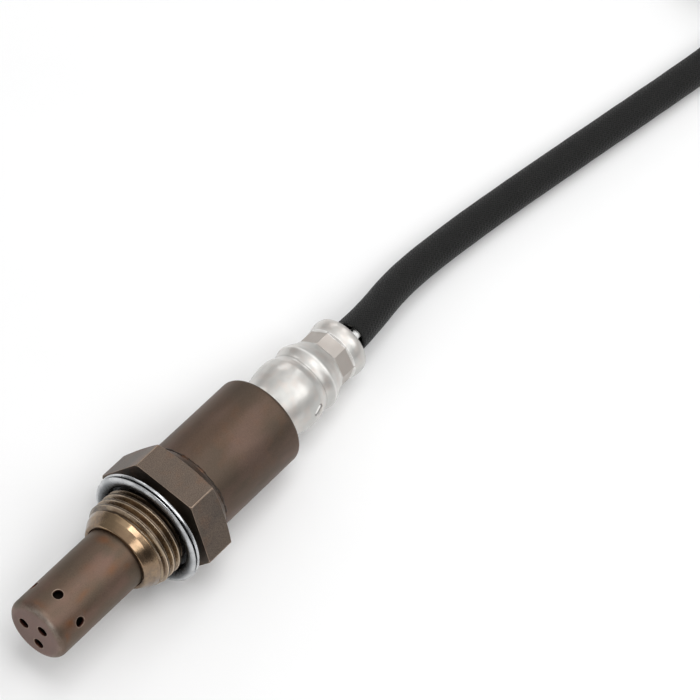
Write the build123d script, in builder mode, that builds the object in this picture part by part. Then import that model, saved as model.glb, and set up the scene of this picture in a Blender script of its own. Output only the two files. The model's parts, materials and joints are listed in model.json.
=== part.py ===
"""Heated exhaust oxygen sensor with its braided lead and connector, in millimetres, +Z up.

The sensor lies on a flat surface, on the rim of its gasket and the rear edge of its sleeve. Its axis
leans down towards the tail, and runs along +X as seen from above. The origin is on that axis, at the
middle of the mounting thread. Stations are lengths along the axis from the seat, which is the front
face of the hexagon: negative towards the tip, positive towards the lead.
"""

import os
from math import asin, atan2, cos, degrees, hypot, pi, radians, sin, tan

from build123d import *

os.makedirs("parts", exist_ok=True)

# ---------------------------------------------------------------- driving dimensions
slip = 0.05  # radial clearance between pieces that slide into each other
cutter_walls = 3.0  # wall thicknesses that a cutter through a closed end spans

# Housing: one turned piece with the thread, the hexagon and the nose.
thread_d = 17.9  # M18 x 1.5, over the crests
thread_len = 4.1  # full crests
thread_lead = 0.8  # cone that starts it
relief_depth = 0.85  # under the crests
relief_d = thread_d - 2 * relief_depth
relief_len = 3.3
nose_len = 3.2
nose_lip_wall = 0.78
nose_shoulder_d = 15.5
nose_shoulder_at = 1.3  # from the lip
nose_rear_depth = 0.65  # under the crests
nose_rear_d = thread_d - 2 * nose_rear_depth
hex_flats = 22.0
hex_corner_d = 25.3
hex_len = 6.45
hex_front_bevel = 0.2
hex_bevel = 0.5
hex_bevel_rise = 1.85
shoulder_len = 1.75  # cone from the hexagon down to the sleeve
shoulder_rear_d = 19.0
collar_len = 1.5
collar_neck_d = 14.8
shield_pocket = 2.6  # depth of the bore that holds the protection tubes
chamber_d = 12.8
throat_shelf_w = 1.2
throat_d = chamber_d - 2 * throat_shelf_w
throat_len = 3.8
crimp_lip_t = 0.6
crimp_lip_w = 0.9
crimp_lip_d = chamber_d - 2 * crimp_lip_w

# Folded crush gasket, loose on the thread and held by its lip in the relief behind it.
gasket_clear = 0.2  # between its bore and the thread's crests
gasket_w = 2.45
gasket_bore_d = thread_d + 2 * gasket_clear
gasket_d = gasket_bore_d + 2 * gasket_w
gasket_roll_t = 0.55
gasket_roll_inset = 0.1
gasket_roll_edge = 0.15
gasket_land_w = 0.5  # flat of its front
gasket_crest = 1.45  # outer edge of that flat, from the bore
gasket_slit = 0.15
gasket_fold_w = 1.05
gasket_ring_t = 0.65
gasket_lip_t = 0.3
gasket_lip_set = 0.3  # from the ring to the lip
gasket_lip_gap = 0.9  # from the end of the thread to the lip
gasket_lip_root = 0.65
gasket_lip_w = 0.3

# Protection tubes over the sensing element.
shield_d = 12.34
nose_lip_d = shield_d + 2 * slip + 2 * nose_lip_wall
shield_reach = 32.05  # from the seat to the closed end
shield_wall = 0.5
shield_edge = 1.5
side_holes = 6
side_hole_d = 1.8
side_hole_at = 5.45  # from the closed end
side_hole_turn = 3.0
end_holes = 3
end_hole_d = 2.0
end_hole_circle_d = 5.14
end_hole_turn = 87.0
inner_shield_d = 10.0
inner_shield_wall = 0.4
inner_shield_gap = 2.0  # between the two closed ends
inner_flange_t = 0.8
inner_holes = 6
inner_hole_d = 1.6
inner_hole_at = 14.0

# Sensing thimble, its heater and what seals it in the housing.
thimble_gap = 2.6  # from the inner tube's closed end
thimble_nose_d = 6.8
thimble_front_d = 8.4
talc_w = 2.0
thimble_rear_d = chamber_d - 2 * talc_w
thimble_bore_d = 4.2
thimble_wall = 1.3
thimble_flange_t = 2.0
thimble_proud = 1.8  # past the housing's rear end
seat_washer_t = 0.3
talc_len = 6.5
bush_len = 5.8
crimp_ring_t = 1.0
crimp_ring_clear = 0.6
crimp_ring_bore_d = thimble_rear_d + 2 * crimp_ring_clear
heater_d = 3.0
heater_gap = 1.5
heater_proud = 9.0  # past the thimble's open end
heater_chamfer = 0.35
contact_t = 0.4
contact_len = 1.4

# Contact holder with its terminals, and the four wires.
holder_gap = 1.6
holder_len = 11.0
holder_bore_d = 3.4
wires = 4
wire_turn = -27.0
wire_d = 1.9
wire_circle_d = 6.2  # where the wires leave the holder
wire_mouth_circle_d = 2.9  # where they enter the braid
terminal_d = 1.8
terminal_front = 0.9
terminal_rear = 1.6
ferrule_d = 2.3
ferrule_len = 4.0
ferrule_overlap = 1.2

# Brown sleeve behind the hexagon.
sleeve_d = 18.48
sleeve_wall = 0.6
sleeve_len = 21.5
sleeve_round = 0.9

# Light tube: body inside the sleeve, then two bulges, a crimped waist and a flare.
tube_wall = 0.45
tube_body_d = 16.0
tube_front_gap = 2.0  # from the housing's rear end
tube_cone_len = 2.6
tube_neck_d = 12.6
tube_neck_len = 1.8
bulge_1_d = 14.26
bulge_1_at = 7.2  # this and the lengths below are from the sleeve's rear end
groove_1_d = 13.0
groove_1_at = 10.75
bulge_2_d = 14.0
bulge_2_at = 13.1
bulge_2_end_d = 12.7
bulge_2_end = 14.9
waist_d = 10.5
waist_start = 17.0
waist_end = 19.3
waist_flats = 8
waist_flat_turn = -4.3
flare_start_d = 11.9
flare_start = 21.2
flare_d = 12.24
flare_at = 22.5
mouth_d = 11.2
mouth_at = 23.4

# Vent filter and rubber grommet inside the light tube.
filter_front = 4.6  # from the sleeve's rear end
filter_len = 3.6
filter_d = 12.2
filter_bore_d = 9.0
grommet_len = 12.6
wire_fit = 0.02

# Braided lead. Its route is chosen by hand: x, y and the height of its middle above the surface.
lead_d = 6.4
braid_gap = 1.7  # from the tube's mouth to the end of the braid
straight_exit = 5.8
bend_share = 0.45  # of the shorter run beside a corner that its arc takes up
lead_route = [
    (78.0, 1.6, 5.0),
    (95.0, 0.4, 3.4),
    (113.0, -2.3, 3.2),
    (135.0, -6.1, 3.2),
    (160.0, -10.3, 3.2),
    (184.0, -14.0, 4.0),
    (201.0, -14.0, 4.0),
]
tail_route = [
    (251.0, -14.0, 10.4),
    (269.0, -14.0, 10.4),
    (287.0, -12.8, 8.0),
    (301.0, -12.8, 8.0),
]

# Hank: one long flat turn, folded back over its own first run and tied there.
fold_r = 20.5
hank_runs = 3
hank_gap = 0.3  # between the incoming lead and the turn that climbs over it
tie_t = 0.8
tie_w = 3.6
tie_inset = 11.0  # from each end of the tied runs
tie_head_len = 5.0
tie_head_h = 3.6

# Connector on the end of the lead.
band_t = 0.5
band_len = 9.5
band_over = 2.0  # past the end of the braid
tail_wire_len = 14.0
pitch = 5.0
plug_w = 20.0
plug_h = 16.0
plug_len = 20.0
plug_round = 1.6
nose_w = 14.6
nose_h = 11.4
plug_nose_len = 13.0
plug_nose_round = 1.8
cell_d = 3.9
cell_depth = 8.0
cell_slot = 2.1
seal_out = 1.2
seal_len = 5.0
tail_wire_in = 9.0
socket_side = 2.0
socket_front = 1.0  # back from the plug's front face
socket_slot_w = 1.5
socket_slot_h = 0.7
socket_slot_depth = 8.0
face_seal_t = 1.0
face_seal_w = 3.0
retainer_t = 1.4
retainer_hole = 2.4
latch_w = 8.0
latch_t = 1.5
latch_gap = 1.6
latch_root = 3.0
latch_len = 17.0
latch_bump = 1.1
latch_bump_len = 2.4
latch_bump_back = 4.8  # from the latch's root
latch_round = 0.5

# ---------------------------------------------------------------- stations along the sensor
thread_rear = -relief_len
thread_end = thread_rear + (thread_d - relief_d) / 2
gasket_lip_front = thread_end + gasket_lip_gap
gasket_lip_rear = gasket_lip_front + gasket_lip_t
gasket_ring_rear = gasket_lip_front - gasket_lip_set
gasket_ring_front = gasket_ring_rear - gasket_ring_t
gasket_roll_rear = gasket_ring_front - gasket_slit
gasket_front = gasket_roll_rear - gasket_roll_t
thread_front = thread_rear - thread_len
thread_start = thread_front - thread_lead
nose_front = thread_start - nose_len
shield_seat = nose_front + shield_pocket
thimble_seat = shield_seat + throat_len
flange_front = thimble_seat + seat_washer_t
flange_rear = flange_front + thimble_flange_t
talc_rear = flange_rear + talc_len
bush_rear = talc_rear + bush_len
crimp_ring_rear = bush_rear + crimp_ring_t
housing_rear = crimp_ring_rear + crimp_lip_t
thimble_rear = housing_rear + thimble_proud
shoulder_rear = hex_len + shoulder_len
collar_rear = shoulder_rear + collar_len

shield_front = -shield_reach
shield_r = shield_d / 2
inner_shield_r = inner_shield_d / 2
inner_shield_front = shield_front + shield_wall + inner_shield_gap
thimble_front = inner_shield_front + inner_shield_wall + thimble_gap

sleeve_rear = shoulder_rear + sleeve_len
sleeve_bore_r = sleeve_d / 2 - sleeve_wall
tube_front = housing_rear + tube_front_gap
tube_neck_front = sleeve_rear - sleeve_wall
tube_cone_front = tube_neck_front - tube_cone_len
mouth = sleeve_rear + mouth_at
filter_front_at = sleeve_rear + filter_front
grommet_front = filter_front_at + filter_len
grommet_rear = grommet_front + grommet_len
lead_start = mouth + braid_gap

holder_front = thimble_rear + holder_gap
holder_rear = holder_front + holder_len
terminal_end = holder_rear + terminal_rear
ferrule_front = terminal_end - ferrule_overlap
ferrule_rear = ferrule_front + ferrule_len

# ---------------------------------------------------------------- how the sensor lies
sleeve_touch = sleeve_rear - sleeve_round


def lean(station, radius, rounding):
    """Angle at which a rounded rim here and the sleeve's rear edge touch one flat surface."""
    along = sleeve_touch - station
    across = (radius - rounding) - (sleeve_d / 2 - sleeve_round)
    return atan2(across, along) + asin((rounding - sleeve_round) / hypot(along, across))


tilt = max(lean(gasket_ring_rear, gasket_d / 2, 0.0), lean(hex_len, hex_flats / 2, 0.0))
axis_dir = Vector(cos(tilt), 0, -sin(tilt))
up_dir = Vector(sin(tilt), 0, cos(tilt))
side_dir = Vector(0, 1, 0)
seat_point = axis_dir * (thread_len / 2 + relief_len)
sensor_axis = Axis(seat_point, axis_dir)
profile_plane = Plane(origin=seat_point, x_dir=axis_dir, z_dir=-side_dir)


def radial(turn):
    """Direction out of the axis, turned from the top towards +Y by an angle in degrees."""
    return up_dir * cos(radians(turn)) + side_dir * sin(radians(turn))


def at(station, radius=0.0, turn=0.0):
    """Point at a station along the sensor, off its axis by a radius."""
    return seat_point + axis_dir * station + radial(turn) * radius


def cross_plane(station):
    """Plane across the sensor at a station: local X along +Y, local Y up, normal to the tail."""
    return Plane(origin=at(station), x_dir=side_dir, z_dir=axis_dir)


def spot(radius, turn):
    """Point of a cross plane that lies at a radius and an angle from the top."""
    return (radius * sin(radians(turn)), radius * cos(radians(turn)))


surface_z = at(sleeve_touch).Z - (sleeve_d / 2 - sleeve_round) * cos(tilt) - sleeve_round


def above(x, y, height):
    """Point over the surface that everything lies on."""
    return Vector(x, y, surface_z + height)


def turned(outline):
    """Turns an outline of (station, radius) points about the sensor's axis."""
    with BuildPart() as ring:
        with BuildSketch(profile_plane):
            with BuildLine():
                Polyline(*outline, close=True)
            make_face()
        revolve(axis=sensor_axis)
    return ring.part


def sleeve_outline(front, rear, outer, inner):
    """Outline of a plain ring between two stations and two radii."""
    return [(front, inner), (rear, inner), (rear, outer), (front, outer)]


def cap_arc(first, last):
    """Arc of an outline between two (station, radius) points, with its centre on the axis."""
    centre = (hypot(*last) ** 2 - hypot(*first) ** 2) / (2 * (last[0] - first[0]))
    start = degrees(atan2(first[1], first[0] - centre))
    end = degrees(atan2(last[1], last[0] - centre))
    CenterArc((centre, 0), hypot(first[0] - centre, first[1]), start, end - start)


def write(part, name):
    """Labels a finished piece and writes it to its own file."""
    part.label = name
    export_step(part, f"parts/{name}.step")


# ---------------------------------------------------------------- housing
with BuildPart() as housing:
    with BuildSketch(cross_plane(0)):
        RegularPolygon(radius=hex_flats / 2, side_count=6, major_radius=False)
    extrude(amount=hex_len)
    # The corners are turned round and bevelled at both ends, less at the seat.
    front_corner = (0, hex_corner_d / 2 - hex_front_bevel)
    front_edge = (hex_front_bevel, hex_corner_d / 2)
    rear_edge = (hex_len - hex_bevel, hex_corner_d / 2)
    rear_corner = (hex_len, hex_corner_d / 2 - hex_bevel_rise)
    with BuildSketch(profile_plane):
        with BuildLine():
            cap_arc(front_corner, front_edge)
            Line(front_edge, rear_edge)
            cap_arc(rear_edge, rear_corner)
            Polyline(rear_corner, (hex_len, 0), (0, 0), front_corner)
        make_face()
    revolve(axis=sensor_axis, mode=Mode.INTERSECT)
    with BuildSketch(profile_plane):
        with BuildLine():
            Polyline(
                (nose_front, 0),
                (nose_front, nose_lip_d / 2),
                (nose_front + nose_shoulder_at, nose_shoulder_d / 2),
                (thread_start, nose_rear_d / 2),
                (thread_front, thread_d / 2),
                (thread_rear, thread_d / 2),
                (thread_end, relief_d / 2),
                (0, relief_d / 2),
                rear_corner,
                (shoulder_rear, shoulder_rear_d / 2),
                (shoulder_rear, sleeve_bore_r - slip),
                (collar_rear, sleeve_bore_r - slip),
                (collar_rear, collar_neck_d / 2),
                (housing_rear, collar_neck_d / 2),
                (housing_rear, 0),
                close=True,
            )
        make_face()
    revolve(axis=sensor_axis)
    with BuildSketch(profile_plane):
        with BuildLine():
            Polyline(
                (nose_front, 0),
                (nose_front, shield_r + slip),
                (shield_seat, shield_r + slip),
                (shield_seat, throat_d / 2),
                (thimble_seat, throat_d / 2),
                (thimble_seat, chamber_d / 2),
                (crimp_ring_rear, chamber_d / 2),
                (crimp_ring_rear, crimp_lip_d / 2),
                (housing_rear, crimp_lip_d / 2),
                (housing_rear, 0),
                close=True,
            )
        make_face()
    revolve(axis=sensor_axis, mode=Mode.SUBTRACT)
write(housing.part, "housing")

# ---------------------------------------------------------------- crush gasket
gasket_bore_r = gasket_bore_d / 2
with BuildPart() as gasket:
    with BuildSketch(profile_plane):
        with BuildLine():
            Polyline(
                (gasket_front, gasket_bore_r + gasket_crest - gasket_land_w),
                (gasket_front, gasket_bore_r + gasket_crest),
                (gasket_roll_rear - gasket_roll_edge, gasket_d / 2 - gasket_roll_inset),
                (gasket_roll_rear, gasket_d / 2 - gasket_roll_inset),
                (gasket_roll_rear, gasket_bore_r + gasket_fold_w),
                (gasket_ring_front, gasket_bore_r + gasket_fold_w),
                (gasket_ring_front, gasket_d / 2),
                (gasket_ring_rear, gasket_d / 2),
                (gasket_ring_rear, gasket_bore_r + gasket_lip_root),
                (gasket_lip_rear, gasket_bore_r + gasket_lip_w),
                (gasket_lip_rear, relief_d / 2 + slip),
                (gasket_lip_front, relief_d / 2 + slip),
                (gasket_lip_front, gasket_bore_r),
                (gasket_roll_rear, gasket_bore_r),
                close=True,
            )
        make_face()
    revolve(axis=sensor_axis)
write(gasket.part, "gasket")

# ---------------------------------------------------------------- outer protection tube
with BuildPart() as outer_shield:
    with BuildSketch(profile_plane):
        with BuildLine():
            inner_edge = shield_edge - shield_wall
            bore_r = shield_r - shield_wall
            floor_at = shield_front + shield_wall
            Line((shield_front, 0), (shield_front, shield_r - shield_edge))
            CenterArc((shield_front + shield_edge, shield_r - shield_edge), shield_edge, 90, 90)
            Line((shield_front + shield_edge, shield_r), (shield_seat, shield_r))
            Line((shield_seat, shield_r), (shield_seat, bore_r))
            Line((shield_seat, bore_r), (shield_front + shield_edge, bore_r))
            CenterArc((shield_front + shield_edge, shield_r - shield_edge), inner_edge, 90, 90)
            Line((floor_at, shield_r - shield_edge), (floor_at, 0))
            Line((floor_at, 0), (shield_front, 0))
        make_face()
    revolve(axis=sensor_axis)
    with BuildSketch(cross_plane(shield_front - shield_wall)):
        for k in range(end_holes):
            with Locations(spot(end_hole_circle_d / 2, end_hole_turn + 360 / end_holes * k)):
                Circle(end_hole_d / 2)
    extrude(amount=cutter_walls * shield_wall, mode=Mode.SUBTRACT)
    for k in range(side_holes):
        out = radial(side_hole_turn + 360 / side_holes * k)
        with BuildSketch(Plane(origin=at(shield_front + side_hole_at), z_dir=out)):
            Circle(side_hole_d / 2)
        extrude(amount=shield_d, mode=Mode.SUBTRACT)
write(outer_shield.part, "outer_shield")

# ---------------------------------------------------------------- inner protection tube
with BuildPart() as inner_shield:
    with BuildSketch(profile_plane):
        with BuildLine():
            flange_r = shield_r - shield_wall - slip
            bore_r = inner_shield_r - inner_shield_wall
            Polyline(
                (inner_shield_front, 0),
                (inner_shield_front, inner_shield_r - inner_shield_wall),
                (inner_shield_front + inner_shield_wall, inner_shield_r),
                (shield_seat - inner_flange_t, inner_shield_r),
                (shield_seat - inner_flange_t, flange_r),
                (shield_seat, flange_r),
                (shield_seat, bore_r),
                (inner_shield_front + inner_shield_wall, bore_r),
                (inner_shield_front + inner_shield_wall, 0),
                close=True,
            )
        make_face()
    revolve(axis=sensor_axis)
    with BuildSketch(cross_plane(inner_shield_front - inner_shield_wall)):
        Circle(inner_hole_d / 2)
    extrude(amount=cutter_walls * inner_shield_wall, mode=Mode.SUBTRACT)
    for k in range(inner_holes):
        out = radial(side_hole_turn + 360 / inner_holes * (k + 0.5))
        with BuildSketch(Plane(origin=at(inner_shield_front + inner_hole_at), z_dir=out)):
            Circle(inner_hole_d / 2)
        extrude(amount=inner_shield_d, mode=Mode.SUBTRACT)
write(inner_shield.part, "inner_shield")

# ---------------------------------------------------------------- sensing thimble
with BuildPart() as sensing_thimble:
    nose_r = thimble_nose_d / 2
    bore_r = thimble_bore_d / 2
    bore_front = thimble_front + thimble_wall
    with BuildSketch(profile_plane):
        with BuildLine():
            CenterArc((thimble_front + nose_r, 0), nose_r, 90, 90)
            Polyline(
                (thimble_front + nose_r, nose_r),
                (shield_seat, thimble_front_d / 2),
                (flange_front, thimble_front_d / 2),
                (flange_front, chamber_d / 2 - slip),
                (flange_rear, chamber_d / 2 - slip),
                (flange_rear, thimble_rear_d / 2),
                (thimble_rear, thimble_rear_d / 2),
                (thimble_rear, bore_r),
                (bore_front + bore_r, bore_r),
            )
            CenterArc((bore_front + bore_r, 0), bore_r, 90, 90)
            Line((bore_front, 0), (thimble_front, 0))
        make_face()
    revolve(axis=sensor_axis)
write(sensing_thimble.part, "sensing_thimble")

# ---------------------------------------------------------------- what seals the thimble in
chamber_fit_r = chamber_d / 2 - slip
thimble_fit_r = thimble_rear_d / 2 + slip
seat_washer = turned(
    sleeve_outline(thimble_seat, flange_front, chamber_fit_r, throat_d / 2)
)
write(seat_washer, "seat_washer")
talc_seal = turned(sleeve_outline(flange_rear, talc_rear, chamber_fit_r, thimble_fit_r))
write(talc_seal, "talc_seal")
ceramic_bush = turned(sleeve_outline(talc_rear, bush_rear, chamber_fit_r, thimble_fit_r))
write(ceramic_bush, "ceramic_bush")
crimp_ring = turned(
    sleeve_outline(bush_rear, crimp_ring_rear, chamber_fit_r, crimp_ring_bore_d / 2)
)
write(crimp_ring, "crimp_ring")

# ---------------------------------------------------------------- heater and contacts
heater_front = thimble_front + thimble_wall + heater_gap
heater_rear = thimble_rear + heater_proud
with BuildPart() as rod_heater:
    with BuildSketch(cross_plane(heater_front)):
        Circle(heater_d / 2)
    extrude(amount=heater_rear - heater_front)
    chamfer(rod_heater.edges().filter_by(GeomType.CIRCLE), heater_chamfer)
write(rod_heater.part, "rod_heater")

outer_contact = turned(
    sleeve_outline(
        thimble_rear - contact_len, thimble_rear, thimble_fit_r + contact_t, thimble_fit_r
    )
)
write(outer_contact, "outer_contact")
inner_contact = turned(
    sleeve_outline(
        thimble_rear - contact_len,
        thimble_rear + holder_gap,
        thimble_bore_d / 2 - slip,
        heater_d / 2 + slip,
    )
)
write(inner_contact, "inner_contact")

# ---------------------------------------------------------------- contact holder
wire_spots = [spot(wire_circle_d / 2, wire_turn + 360 / wires * k) for k in range(wires)]
with BuildPart() as contact_holder:
    with BuildSketch(cross_plane(holder_front)):
        Circle(tube_body_d / 2 - tube_wall - slip)
        Circle(holder_bore_d / 2, mode=Mode.SUBTRACT)
        with Locations(*wire_spots):
            Circle(terminal_d / 2 + slip, mode=Mode.SUBTRACT)
    extrude(amount=holder_len)
write(contact_holder.part, "contact_holder")

for k, place in enumerate(wire_spots, start=1):
    with BuildPart() as contact_terminal:
        with BuildSketch(cross_plane(holder_front - terminal_front)):
            with Locations(place):
                Circle(terminal_d / 2)
        extrude(amount=terminal_end - holder_front + terminal_front)
    write(contact_terminal.part, f"contact_terminal_{k}")

# ---------------------------------------------------------------- brown sleeve
with BuildPart() as rear_sleeve:
    rear_bore_r = tube_neck_d / 2 + slip
    with BuildSketch(profile_plane):
        with BuildLine():
            Polyline(
                (sleeve_touch, sleeve_d / 2),
                (shoulder_rear, sleeve_d / 2),
                (shoulder_rear, sleeve_bore_r),
                (sleeve_rear - sleeve_wall, sleeve_bore_r),
                (sleeve_rear - sleeve_wall, rear_bore_r),
                (sleeve_rear, rear_bore_r),
                (sleeve_rear, sleeve_d / 2 - sleeve_round),
            )
            CenterArc((sleeve_touch, sleeve_d / 2 - sleeve_round), sleeve_round, 0, 90)
        make_face()
    revolve(axis=sensor_axis)
write(rear_sleeve.part, "rear_sleeve")


# ---------------------------------------------------------------- light tube
def tube_line(inset, front, rear):
    """Outline of the light tube moved in by inset, from a station in the sleeve to its mouth."""
    body = (tube_cone_front, tube_body_d / 2 - inset)
    neck = (tube_neck_front, tube_neck_d / 2 - inset)
    neck_end = (sleeve_rear + tube_neck_len, tube_neck_d / 2 - inset)
    bulge_1 = (sleeve_rear + bulge_1_at, bulge_1_d / 2 - inset)
    groove_1 = (sleeve_rear + groove_1_at, groove_1_d / 2 - inset)
    bulge_2 = (sleeve_rear + bulge_2_at, bulge_2_d / 2 - inset)
    shoulder = (sleeve_rear + bulge_2_end, bulge_2_end_d / 2 - inset)
    waist_a = (sleeve_rear + waist_start, waist_d / 2 - inset)
    waist_b = (sleeve_rear + waist_end, waist_d / 2 - inset)
    flare_a = (sleeve_rear + flare_start, flare_start_d / 2 - inset)
    flare = (sleeve_rear + flare_at, flare_d / 2 - inset)
    lip = (rear, mouth_d / 2 - inset)
    Polyline((front, 0), (front, tube_body_d / 2 - inset), body, neck, neck_end)
    ThreePointArc(neck_end, bulge_1, groove_1)
    ThreePointArc(groove_1, bulge_2, shoulder)
    Polyline(shoulder, waist_a, waist_b, flare_a)
    ThreePointArc(flare_a, flare, lip)
    Polyline(lip, (rear, 0), (front, 0))


with BuildPart() as rear_tube:
    with BuildSketch(profile_plane):
        with BuildLine():
            tube_line(0.0, tube_front, mouth)
        make_face()
    revolve(axis=sensor_axis)
    # The waist is crimped to flats.
    with BuildSketch(cross_plane(sleeve_rear + waist_start)):
        RegularPolygon(
            radius=waist_d / 2,
            side_count=waist_flats,
            major_radius=False,
            rotation=-waist_flat_turn + 180 / waist_flats,
        )
    extrude(amount=waist_end - waist_start)
    with BuildSketch(profile_plane):
        with BuildLine():
            tube_line(tube_wall, tube_front, mouth)
        make_face()
    revolve(axis=sensor_axis, mode=Mode.SUBTRACT)
write(rear_tube.part, "rear_tube")

vent_filter = turned(
    sleeve_outline(filter_front_at, grommet_front, filter_d / 2, filter_bore_d / 2)
)
write(vent_filter, "vent_filter")


# ---------------------------------------------------------------- wires and grommet
def wire_place(station, k):
    """Where a wire's middle is in the cross plane at a station, on its way to the mouth."""
    share = (station - terminal_end) / (lead_start - terminal_end)
    circle_d = wire_circle_d + (wire_mouth_circle_d - wire_circle_d) * share
    return spot(circle_d / 2, wire_turn + 360 / wires * k)


def wire_run(front, rear, radius, k):
    """One wire, or the passage it takes, between two stations."""
    with BuildPart() as run:
        with BuildSketch(cross_plane(front)):
            with Locations(wire_place(front, k)):
                Circle(radius)
        with BuildSketch(cross_plane(rear)):
            with Locations(wire_place(rear, k)):
                Circle(radius)
        loft(ruled=True)
    return run.part


passage_r = wire_d / 2 + wire_fit
passages = [wire_run(grommet_front, grommet_rear, passage_r, k) for k in range(wires)]
with BuildPart() as grommet:
    with BuildSketch(profile_plane):
        with BuildLine():
            tube_line(tube_wall + slip, tube_front, mouth)
        make_face()
    revolve(axis=sensor_axis)
    with BuildSketch(cross_plane(grommet_front)):
        Circle(tube_body_d)
    extrude(amount=grommet_len, mode=Mode.INTERSECT)
    add(passages, mode=Mode.SUBTRACT)
write(grommet.part, "grommet")

for k in range(wires):
    write(wire_run(terminal_end, lead_start, wire_d / 2, k), f"wire_{k + 1}")
    with BuildPart() as ferrule:
        add(wire_run(ferrule_front, ferrule_rear, ferrule_d / 2, k))
        add(wire_run(ferrule_front, ferrule_rear, passage_r, k), mode=Mode.SUBTRACT)
    write(ferrule.part, f"ferrule_{k + 1}")


# ---------------------------------------------------------------- braided lead
def bend_radii(points):
    """Radius of the arc at each corner of a route, from its shorter run and half its turn."""
    radii = []
    for before, corner, after in zip(points, points[1:], points[2:]):
        run_in = corner - before
        run_out = after - corner
        half_turn = radians(run_in.get_angle(run_out)) / 2
        radii.append(bend_share * min(run_in.length, run_out.length) / tan(half_turn))
    return radii


def lay_lead(points, name):
    """Sweeps the lead's round section along straight runs joined by tangent arcs."""
    radii = bend_radii(points)
    with BuildPart() as lead:
        with BuildLine() as route:
            FilletPolyline(*points, radius=radii)
        with BuildSketch(Plane(origin=route.line @ 0, z_dir=route.line % 0)):
            Circle(lead_d / 2)
        sweep(path=route.line)
    length = sum(edge.length for edge in route.edges())
    share = lead.part.volume / (pi * lead_d**2 / 4 * length)
    shown = ", ".join(f"{radius:.0f}" for radius in radii)
    print(f"{name}: length {length:.1f}, bend radii {shown}, volume over section x length {share:.4f}")
    write(lead.part, name)
    return length


lead_points = [at(lead_start), at(lead_start + straight_exit)]
lead_points += [above(*point) for point in lead_route]
lead_length = lay_lead(lead_points, "braided_lead")
tail_length = lay_lead([above(*point) for point in tail_route], "lead_tail")

# Hank: a flat turn on the surface, with its last run on top of its first.
run_start = lead_route[-1]
run_end = tail_route[0]
run_len = run_end[0] - run_start[0]
hank_y = run_start[1]
hank_middle = (run_start[0] + run_len / 2, hank_y + fold_r)
with BuildPart() as lead_hank:
    with BuildSketch(Plane.XY.offset(surface_z + tie_t)):
        with Locations(hank_middle):
            SlotCenterToCenter(run_len, 2 * fold_r + lead_d)
            SlotCenterToCenter(run_len, 2 * fold_r - lead_d, mode=Mode.SUBTRACT)
        # The lead comes in here, under the end of the turn.
        with Locations((run_start[0], hank_y + lead_d / 2 + hank_gap)):
            Rectangle(
                fold_r + lead_d,
                2 * lead_d,
                align=(Align.MAX, Align.MAX),
                mode=Mode.SUBTRACT,
            )
    extrude(amount=lead_d)
    with BuildSketch(Plane.XY.offset(surface_z + tie_t + lead_d)):
        with Locations(hank_middle):
            SlotCenterToCenter(run_len, 2 * fold_r + lead_d)
            SlotCenterToCenter(run_len, 2 * fold_r - lead_d, mode=Mode.SUBTRACT)
        with Locations((run_end[0], hank_y - lead_d / 2)):
            Rectangle(
                run_len + fold_r + lead_d,
                fold_r + lead_d / 2,
                align=(Align.MAX, Align.MIN),
                mode=Mode.INTERSECT,
            )
    extrude(amount=lead_d)
write(lead_hank.part, "lead_hank")
hank_length = 2 * pi * fold_r + hank_runs * run_len
print(f"lead: {lead_length:.1f} + hank {hank_length:.1f} + tail {tail_length:.1f}")

# ---------------------------------------------------------------- ties round the two runs
tie_places = [run_start[0] + tie_inset, run_end[0] - tie_inset]
for k, tie_x in enumerate(tie_places, start=1):
    tie_side = Plane(origin=above(tie_x - tie_w / 2, hank_y, 0), x_dir=(0, 1, 0), z_dir=(1, 0, 0))
    with BuildPart() as tie:
        with BuildSketch(tie_side):
            with Locations((0, lead_d + tie_t)):
                RectangleRounded(lead_d + 2 * tie_t + 2 * slip, 2 * lead_d + 2 * tie_t, tie_t)
                Rectangle(lead_d + 2 * slip, 2 * lead_d, mode=Mode.SUBTRACT)
        extrude(amount=tie_w)
        with BuildSketch(Plane.XY.offset(surface_z + 2 * (tie_t + lead_d))):
            with Locations((tie_x, hank_y)):
                RectangleRounded(tie_head_len, tie_head_len, tie_t)
        extrude(amount=tie_head_h)
    write(tie.part, f"tie_{k}")

# ---------------------------------------------------------------- end of the lead
lead_end = tail_route[-1]
end_x, end_y, plug_middle = lead_end
end_z = surface_z + plug_middle
end_plane = Plane(origin=(end_x, end_y, end_z), x_dir=(0, 1, 0), z_dir=(1, 0, 0))
with BuildPart() as end_band:
    with BuildSketch(end_plane.offset(-(band_len - band_over))):
        Circle(lead_d / 2 + slip + band_t)
        Circle(lead_d / 2 + slip, mode=Mode.SUBTRACT)
    extrude(amount=band_len)
write(end_band.part, "end_band")

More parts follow.
